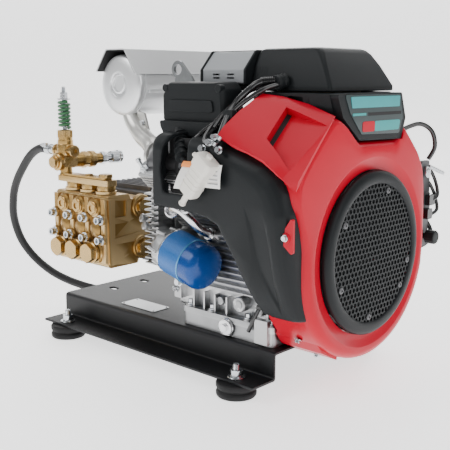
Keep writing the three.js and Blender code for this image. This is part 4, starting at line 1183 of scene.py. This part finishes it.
# ------------------------------------------------------------------ pump
def pump_case():
    x0, x1, y0, y1, z0, z1 = -210, -74, -75.7, 70, 152, 278
    section = fillet([(y0, z0 + 8), (y0 + 8, z0), (y1 - 18, z0), (y1, z0 + 18), (y1, z1 - 18),
                      (y1 - 18, z1), (y0, z1)], 5)
    form = Form().prism("x", section, x0, x1)
    for i in range(9):
        y = y0 + 10 + i * 13
        form.prism("x", fillet([(y, z1 - 2), (y + 5, z1 - 2), (y + 4, z1 + 8.6), (y + 1, z1 + 8.6)], 1, 2),
                   x0 + 5, x1 - 5)
    form.turned([(46, -2), (46, 2), (40, 3)], (x0, 0, SHAFT_Z), LEFT, 48)
    for x in (x0 + 12, x1 - 12):
        for y in (y0 + 6, y1 - 22):
            form.box(x - 9, x + 9, y - 4, y + 14, z0, z0 + 12)
    bores = Form()
    for x in PLUNGER_X:
        bores.bar((x, y0 - 1, SHAFT_Z), (x, y0 + 16, SHAFT_Z), 14.3, CUT_EDGE)
    shaft = Form().bar((x0 - 5, 0, SHAFT_Z), (x1 + 5, 0, SHAFT_Z), 20.5, CUT_EDGE)
    piece("pump_casing", form, DARK_CAST, cad="pump_crankcase",
          cuts=[bores, shaft], bevel=0.8)
    bolts = Form()
    for z in (168, 262):
        for x in (-196, -142, -88):
            bolts.nut((x, y1 + 9, lerp(z, 215, 0.1)), BACK, 8, 5, 6)
    for degrees in (45, 135, 225, 315):
        bolts.nut(round_shaft(x0 - 2.6, 34, degrees), LEFT, 9, 4, 6)
    bolts.nut((-142, y1 + 13, 210), BACK, 18, 6, 11)
    piece("pump_case_bolts", bolts, ZINC)

    back = Form().slab("y", -196, -88, 170, 260, y1 + 0.3, y1 + 9, 9)
    back.slab("y", -182, -102, 184, 246, y1 + 8, y1 + 10.5, 8)
    back.bar((-142, y1 + 8, 210), (-142, y1 + 13, 210), 15, 1)
    back.turned([(5, 0), (5, 20), (9, 21), (9, 27), (4, 29)], (-112, y1 + 5, 245), UP, 28)
    piece("rear_cover_plate", back, CAST, cad="pump_rear_cover", bevel=1)


def adapter():
    profile = [(50, 0), (62, 0), (64, 2), (64, 10), (70, 16), (75, 62), (80, 69), (92, 70.6), (94, 73),
               (94, 85.4), (92, 87.2), (56, 87.2), (52, 60)]
    bell = Form().turned(profile, (-73.7, 0, SHAFT_Z), RIGHT, 72, closed=True)
    for a in range(8):
        t = math.radians(22.5 + 45 * a)
        way = Vector((0, math.cos(t), math.sin(t)))
        wide = Vector((0, -math.sin(t), math.cos(t))) * 2.4
        mid = Vector((0, 0, SHAFT_Z))
        bell.hull([Vector((x, 0, 0)) + mid + way * r + wide * s for s in (-1, 1)
                   for x, r in ((-68, 60), (-68, 68), (-4, 88), (-4, 70))])
        if a % 2 == 0:
            bell.bar(Vector((-2.5, 0, 0)) + mid + way * 84, Vector((13, 0, 0)) + mid + way * 84, 8)
    windows = Form()
    for s in (-1, 1):
        windows.slab("x", -22, 22, SHAFT_Z + s * 50, SHAFT_Z + s * 98, -50, -18, 6)
    piece("adapter_bell", bell, CAST, cad="pump_adapter", cuts=[windows], bevel=0.5, angle=40)
    screws = Form()
    for degrees in (22.5, 112.5, 202.5, 292.5):
        screws.socket_screw(round_shaft(-2.6, 84, degrees), LEFT, 6.4, 7)
    piece("adapter_screws", screws, ZINC)


def manifold():
    x0, x1, y0, y1, z0, z1 = -214, -70, -172, -76, 155, 281
    screw_columns, screw_rows = (-208, -163.5, -120.5, -76), (241, 206)
    inlet_z, outlet_y, plug_z = 182.5, y0 + 21, 259
    section = fillet([(y0, z0 + 4), (y0 + 4, z0), (y1 - 30, z0), (y1 - 26, z0 + 12), (y1, z0 + 12),
                      (y1, z1 - 10), (y0 + 52, z1 - 10), (y0 + 48, z1), (y0 + 4, z1), (y0, z1 - 4)], 4)
    form = Form().prism("x", section, x0, x1)
    # rounded bosses between the screw rows, one per plunger, and their webs
    for x in PLUNGER_X:
        form.turned([(20.5, 0), (20.5, 9), (18.6, 11.6), (14, 12.6)], (x, y0 + 2, inlet_z), FRONT, 40)
        form.turned([(17, 0), (17, 8), (15, 10.4), (12, 11)], (x, y0 + 2, plug_z), FRONT, 36)
        form.turned([(13.5, 0), (15.5, 4), (14, 9), (9, 12), (3, 13)], (x, y0 + 4, 221), FRONT, 36)
    for x in screw_columns:
        form.prism("z", fillet([(x - 6.5, y0 + 4), (x + 6.5, y0 + 4), (x + 5.5, y0 - 7),
                                (x - 5.5, y0 - 7)], 2.5), 164, 276)
        for z in screw_rows:
            form.turned([(9.4, 0), (9.4, 5), (8.4, 6.4)], (x, y0 - 5, z), FRONT, 28)
    # end face: two port bosses, a web between them and the raised corner rib
    form.bar((x1 - 4, -98, 257), (x1 + 5, -98, 257), 21, 1.6)
    form.bar((x1 - 4, -97, 184), (x1 + 5, -97, 184), 22, 1.6)
    form.prism("x", fillet([(-172, 160), (-160, 160), (-158, 276), (-172, 276)], 3), x1 - 2, x1 + 3.4)
    form.slab("x", -172, -124, 232, 243, x1 - 2, x1 + 3.2, 3)
    form.prism("x", fillet([(-134, 236), (-124, 236), (-122, 272), (-134, 272)], 3), x1 - 2, x1 + 3)
    form.prism("x", fillet([(-168, 196), (-96, 196), (-96, 212), (-168, 206)], 5), x1 - 2, x1 + 2.4)
    form.bar((x0 + 3, -98, 257), (x0 - 4, -98, 257), 19, 1.4)
    form.bar((x0 + 3, -97, 184), (x0 - 4, -97, 184), 20, 1.4)
    for x in PLUNGER_X:
        form.bar((x, outlet_y, z1 - 3), (x, outlet_y, z1 - 0.1), 21, 0.6)
    bores = Form()
    for x in PLUNGER_X:
        bores.bar((x, y1 - 76, SHAFT_Z), (x, y1 + 1, SHAFT_Z), 9.6, CUT_EDGE)
        bores.bar((x, y0 - 20, inlet_z), (x, y0 + 14, inlet_z), 12.3, CUT_EDGE)
        bores.bar((x, outlet_y, z1 - 14), (x, outlet_y, z1 + 1), 12.3, CUT_EDGE)
    piece("manifold_casting", form, BRASS, cad="pump_manifold", cuts=[bores], bevel=1)

    for i, x in enumerate(PLUNGER_X):
        low = Form().turned([(16.5, 0), (18.3, 0.6), (18.3, 5), (17, 6.4), (15.4, 7)],
                            (x, y0 - 11, inlet_z), FRONT, 44)
        low.nut((x, y0 - 17.6, inlet_z), FRONT, 31, 10)
        low.turned([(12, 0), (12, 25)], (x, y0 + 12, inlet_z), FRONT, 32)
        piece(f"inlet_cap_{i + 1}", low, BRASS_CUT, cad=f"inlet_valve_cap_{i + 1}")
        top = Form().turned([(17, 0), (18.6, 0.6), (18.6, 5), (17, 6)], (x, outlet_y, z1 + 0.2), UP, 44)
        top.nut((x, outlet_y, z1 + 5.6), UP, 31, 9.2)
        top.turned([(12, 0), (12, 14)], (x, outlet_y, z1 - 12), UP, 32)
        piece(f"outlet_cap_{i + 1}", top, BRASS_CUT, cad=f"outlet_valve_cap_{i + 1}")

    plugs = Form()
    for x in PLUNGER_X:
        plugs.turned([(12.4, 0), (12.4, 1.6), (11.6, 2.4)], (x, y0 - 9, plug_z), FRONT, 32)
        plugs.turned([(hexagon(18.6), 0), (hexagon(19.4), 0.8), (hexagon(19.4), 3), (hexagon(18), 3.8),
                      (5.4, 4), (4.6, 0.6), (1, 0.4)], (x, y0 - 9.4, plug_z), FRONT, 48)
    for y, z, across in ((-98, 257, 24), (-97, 184, 26)):
        plugs.bar((x1 + 5, y, z), (x1 + 6.6, y, z), across * 0.66, 0.4)
        plugs.nut((x1 + 3, y, z), RIGHT, across, 8.4)
        plugs.bar((x0 - 4, y, z), (x0 - 5.4, y, z), across * 0.6, 0.4)
        plugs.nut((x0 - 4, y, z), LEFT, across * 0.9, 7)
    piece("manifold_plugs", plugs, BRASS_CUT)

    screws = Form()
    for x in screw_columns:
        for z in screw_rows:
            screws.bar((x, y0 - 11, z), (x, y0 - 12.6, z), 8.6, 0.3)
            screws.socket_screw((x, y0 - 12.4, z), FRONT, 6.6, 8.6)
    piece("manifold_screws", screws, ZINC)


VALVE_X, VALVE_Y = -206, -155
LOWER_Z, UPPER_Z = 331, 350  # heights of the coupler's bore and of the hose barb


def unloader():
    x, y, lower, upper, rail = VALVE_X, VALVE_Y, LOWER_Z, UPPER_Z, 296.3
    body = Form().slab("z", -217, -76, y - 13, y + 12, rail, rail + 10, 5)
    body.slab("z", -213, -86, y - 10, y + 10, rail + 9, rail + 14, 5)
    body.turned([(13.5, 0), (12, 3), (11, 5), (11, 16), (12.5, 18)], (x, y, rail + 9), UP, 36)
    body.slab("x", y - 15, y + 16, 321, 342, x - 13.6, x + 13.6, 7)
    body.turned([(15, 0), (16, 2), (16, 8), (14, 10)], (x, y - 13, lower), FRONT, 36)
    body.turned([(13.2, 0), (13.2, 14), (14, 16), (14, 19), (13, 20), (13, 34), (13.8, 35), (13.8, 36.4)],
                (x, y + 14, lower), BACK, 36)
    body.nut((x, y + 34, lower), BACK, 27, 12)
    body.turned([(14.6, 0), (15.4, 1), (15.4, 10), (13.4, 11.4), (10, 12), (10, 26), (9.4, 26.8),
                 (7.2, 26.8), (7.2, 8)], (x, y + 51, lower), BACK, 36)
    body.turned([(14.6, 0), (15.4, 2), (15.4, 19), (14.2, 21)], (x, y, 341), UP, 40)
    body.turned([(9.8, 0), (9.8, 40), (10.8, 41), (10.8, 46)], (x - 24, y, upper), RIGHT, 32)
    body.turned([(11.4, 0), (11.4, 3), (10.6, 4)], (x - 26, y, upper), RIGHT, 32)
    body.turned([(10.4, 0), (11.2, 0.8), (11.2, 5), (10.2, 6), (hexagon(9.4), 6), (hexagon(9.4), 2.4),
                 (1, 2)], (x + 21.6, y, upper), RIGHT, 48)
    knurl = lambda a: 13.2 + 0.35 * math.cos(a * 30)
    body.turned([(13.6, 0), (14, 1), (14, 7), (13, 8), (13, 12), (knurl, 12.4), (knurl, 24.5), (11, 25.6),
                 (5, 25.7), (4.7, 16)], (x, y, 362), UP, 120)
    piece("unloader_body", body, BRASS_CUT, cad="unloader_valve", sharp=42,
          cuts=[Form().bar((x, y, 357), (x, y, 392), 4.7, CUT_EDGE)])
    plug = Form().turned([(10.5, 0), (11.6, 0.8), (11.6, 3), (10.6, 4)], (x, y - 22.4, lower), FRONT, 36)
    plug.nut((x, y - 26, lower), FRONT, 18.6, 5)
    plug.nut((-94, y, rail + 13.6), UP, 22, 6)
    plug.nut((-140, y, rail + 13.4), UP, 14, 3)
    piece("unloader_plugs", plug, BRASS_CUT)


def hose_barb():
    x, y, upper = VALVE_X, VALVE_Y, UPPER_Z
    barb = Form().nut((x - 26.4, y, upper), LEFT, 17, 7)
    barb.turned([(5.8, 0), (5.8, 26)], (x - 33, y, upper), LEFT, 28)
    ribs = [(6.4 + (k % 2) * 1.2, 2 + k * 1.9) for k in range(12)]
    barb.turned(ribs, (x - 34, y, upper), LEFT, 28)
    piece("hose_barb", barb, ZINC, cad="bypass_barb")
    clamp = Form().turned([(9.2, -6.4), (9.7, -6), (9.7, -2.6), (9.2, -2.2), (9.2, 2.2), (9.7, 2.6),
                           (9.7, 6), (9.2, 6.4)], (x - 49, y, upper), RIGHT, 36)
    clamp.box(x - 55, x - 43, y - 13, y - 7, upper + 4, upper + 12)
    clamp.nut((x - 55, y - 10, upper + 8), LEFT, 6, 4)
    piece("hose_clamp_ring", clamp, ZINC, bevel=0.3)


def stem_and_spring():
    x, y = VALVE_X, VALVE_Y
    threads = [(4.05 if k % 2 else 3.5, k * 0.6) for k in range(160)]
    stem = Form().turned([(3.5, -0.6)] + threads + [(2.6, 97.4)], (x, y, 367), UP, 20)
    stem.turned([(11.4, 0), (12, 0.4), (12, 2.2), (11.4, 2.6)], (x, y, 441), UP, 36)
    stem.nut((x, y, 443.4), UP, 13, 5.6)
    stem.nut((x, y, 449.2), UP, 13, 5.2)
    piece("stem_and_nuts", stem, ZINC, body="unloader_stem", cad="unloader_stem")

    turns = 7
    coil = []
    for k in range(int(turns * 24) + 1):
        t = k / (turns * 24)
        a = TAU * turns * t
        coil.append((x + 9.4 * math.cos(a), y + 9.4 * math.sin(a), lerp(391.2, 438.2, t)))
    spring = Form().sweep(coil, 2.6, 12, 1)
    coil_piece = piece("valve_spring", spring, GREEN, cad="unloader_spring")
    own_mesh(coil_piece)


def coupler():
    x, start, lower = VALVE_X, -76.7, LOWER_Z
    form = Form().nut((x, start, lower), BACK, 21, 11)
    form.turned([(9.6, 0), (9.6, 5), (7.9, 5.6), (7.9, 37), (8.6, 38), (8.6, 39.6), (7, 39.8),
                 (5.2, 39), (5.2, 20), (1, 18)], (x, start + 10.6, lower), BACK, 36)
    piece("coupler_nipple", form, ZINC, cad="quick_coupler")
    grip = lambda a: 11.3 + 0.25 * math.cos(a * 26)
    sleeve = Form().turned([(8.4, 23.4), (10.4, 23.4), (11.4, 24.4), (grip, 25), (grip, 38), (11, 38.6),
                            (11, 40.6), (12.4, 41.2), (12.4, 45), (11.6, 45.6), (11.6, 47.4),
                            (10.8, 48), (8.4, 48)], (x, start, lower), BACK, 104, closed=True)
    piece("coupler_grip", sleeve, ZINC, body="coupler_sleeve", cad="coupler_sleeve")


# ------------------------------------------------------------------ starter and controls
def starter():
    motor = Form().turned([(26, 0), (30, 1.4), (31, 4), (31, 96), (29.6, 97), (29.6, 101), (31, 102),
                           (31, 110), (28, 112)], (70, 134, 156), RIGHT, 56)
    motor.turned([(22, 0), (22, 20), (19, 23.6)], (182, 128, 162), RIGHT, 40)
    for a in (30, 210):
        t = math.radians(a)
        y, z = 134 + math.cos(t) * 27, 156 + math.sin(t) * 27
        motor.bar((68, y, z), (182, y, z), 3)
    for x in (90, 150):
        motor.slab("x", 97, 120, 130, 180, x, x + 14, 4)
    motor.turned([(15, 0), (15, 60), (13, 62)], (100, 152, 196), RIGHT, 40)
    piece("starter_body", motor, DARK_CAST, cad="starter_motor", bevel=0.6)
    lug = Form().nut((100, 152, 196), LEFT, 10, 6, 7)
    lug.nut((70, 150, 150), LEFT, 8, 4, 5)
    piece("starter_terminals", lug, ZINC)


def controls():
    plate = Form().prism("x", fillet([(170, 197), (204, 197), (206, 240), (206, 300), (202, 343),
                                      (178, 343), (168, 310), (168, 230)], 6), 322, 327.6)
    plate.slab("z", 300, 324, 168, 175.6, 230, 300, 2)
    plate.slab("x", 172, 202, 241, 289, 327.6, 331.8, 5)
    for z in (240, 290):
        plate.bar((306, 160, z), (306, 169, z), 7)
    holes = Form()
    for y, z in ((190, 322), (192, 214)):
        holes.bar((318, y, z), (334, y, z), 5, CUT_EDGE)
    piece("control_plate", plate, DARK_CAST, cad="control_bracket", cuts=[holes], bevel=0.8)
    blocks = Form().slab("x", 174, 190, 246, 264, 331, 344, 3)
    blocks.slab("x", 184, 203, 268, 286, 331, 341, 3)
    for z in (252, 276):
        blocks.sweep([(338, 196, z), (342, 208, z + 8), (334, 214, z + 30), (326, 206, z + 52),
                      (318, 196, z + 60)], 3, 14, 6)
    blocks.sweep([(326, 200, 344), (334, 206, 366), (330, 200, 392), (316, 184, 404), (300, 160, 396)],
                 4, 14, 6)
    blocks.sweep([(322, 206, 240), (330, 212, 220), (326, 206, 200), (312, 190, 190)], 4, 14, 6)
    piece("control_cables", blocks, GLOSS_BLACK, bevel=0.6)
    lever = Form().turned([(4.6, 0), (4.6, 12.6), (8, 12.8), (8, 17.4), (6, 18)], (316, 190, 322),
                          RIGHT, 28)
    lever.prism("x", fillet([(184, 316), (200, 316), (200, 330), (184, 336)], 5), 328.4, 332.4)
    lever.hull([(329, 196, 330), (333, 196, 330), (329, 196, 336), (333, 196, 336), (346, 214, 318),
                (350, 214, 318), (346, 214, 324), (350, 214, 324)])
    piece("throttle_arm", lever, ZINC, body="throttle_lever", cad="throttle_lever", bevel=0.7)
    grip = lambda a: 11.7 + 0.3 * math.cos(a * 16)
    knob = Form().turned([(4.6, 0), (4.6, 17), (9, 17.6), (11, 18.6), (grip, 20), (grip, 33),
                          (10.4, 35.2), (6, 36)], (316, 192, 214), RIGHT, 96)
    piece("choke_pull_knob", knob, PLASTIC, body="choke_knob", cad="choke_knob")


# ------------------------------------------------------------------ CAD solids that stay in view
# The flywheel fan takes the painted-shade black, as it is seen only in shade through the grille.
KEPT = {
    "output_cover": CAST, "piston_near": MACHINED, "piston_far": MACHINED, "engine_crankshaft": STEEL,
    "flywheel_fan": DARK, "pump_crankshaft": STEEL, "air_filter_element": FILTER, "plunger_1": CERAMIC,
    "plunger_2": CERAMIC, "plunger_3": CERAMIC, "return_fitting": BRASS_CUT,
}


def kept_nodes():
    for name, finish in KEPT.items():
        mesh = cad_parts[name].data
        mesh.materials.clear()
        mesh.materials.append(finish)


def studio():
    floor_look = look("studio_floor", (0.88, 0.88, 0.88), 0.6, tone=0.01, grain=0.02)
    glow = floor_look.node_tree.nodes["Principled BSDF"]
    glow.inputs["Emission Color"].default_value = (1, 1, 1, 1)
    glow.inputs["Emission Strength"].default_value = 1.5
    mesh = bpy.data.meshes.new("studio_floor")
    bm = bmesh.new()
    front, back, height, half_width, bend = -6, 3.5, 6, 8, 1.5  # metres, seen from the camera
    profile = [(front, 0), (back, 0)]
    for k in range(1, 13):
        a = k / 12 * math.pi / 2
        profile.append((back + bend * math.sin(a), bend - bend * math.cos(a)))
    profile.append((back + bend, height))
    cos, sin = math.cos(CAMERA_TURN), math.sin(CAMERA_TURN)
    rows = [[bm.verts.new((s * cos - d * sin, s * sin + d * cos, h)) for d, h in profile]
            for s in (-half_width, half_width)]
    for a, b, c, d in zip(rows[0], rows[0][1:], rows[1][1:], rows[1]):
        bm.faces.new((a, d, c, b))
    bm.to_mesh(mesh)
    bm.free()
    mesh.materials.append(floor_look)
    mesh.polygons.foreach_set("use_smooth", [True] * len(mesh.polygons))
    floor = bpy.data.objects.new("studio_floor", mesh)
    bpy.context.scene.collection.objects.link(floor)
    world = bpy.data.worlds.new("studio")
    world.use_nodes = True
    world.node_tree.nodes["Background"].inputs["Color"].default_value = (1, 1, 1, 1)
    world.node_tree.nodes["Background"].inputs["Strength"].default_value = 0.4
    bpy.context.scene.world = world


skid()
crankcase()
engine_fittings()
cylinders()
plug_and_elbow()
oil_filter()
fan_housing()
shroud_wing()
shroud_fittings()
fan_grille()
near_duct()
far_duct()
carburettor()
breather()
plug_cap()
louvre()
air_cleaner()
air_cleaner_tray()
badge()
loom()
fuel_filter()
silencer()
exhaust_pipes()
heat_shield()
lifting_eye()
pump_case()
adapter()
manifold()
unloader()
hose_barb()
stem_and_spring()
coupler()
starter()
controls()
kept_nodes()
studio()
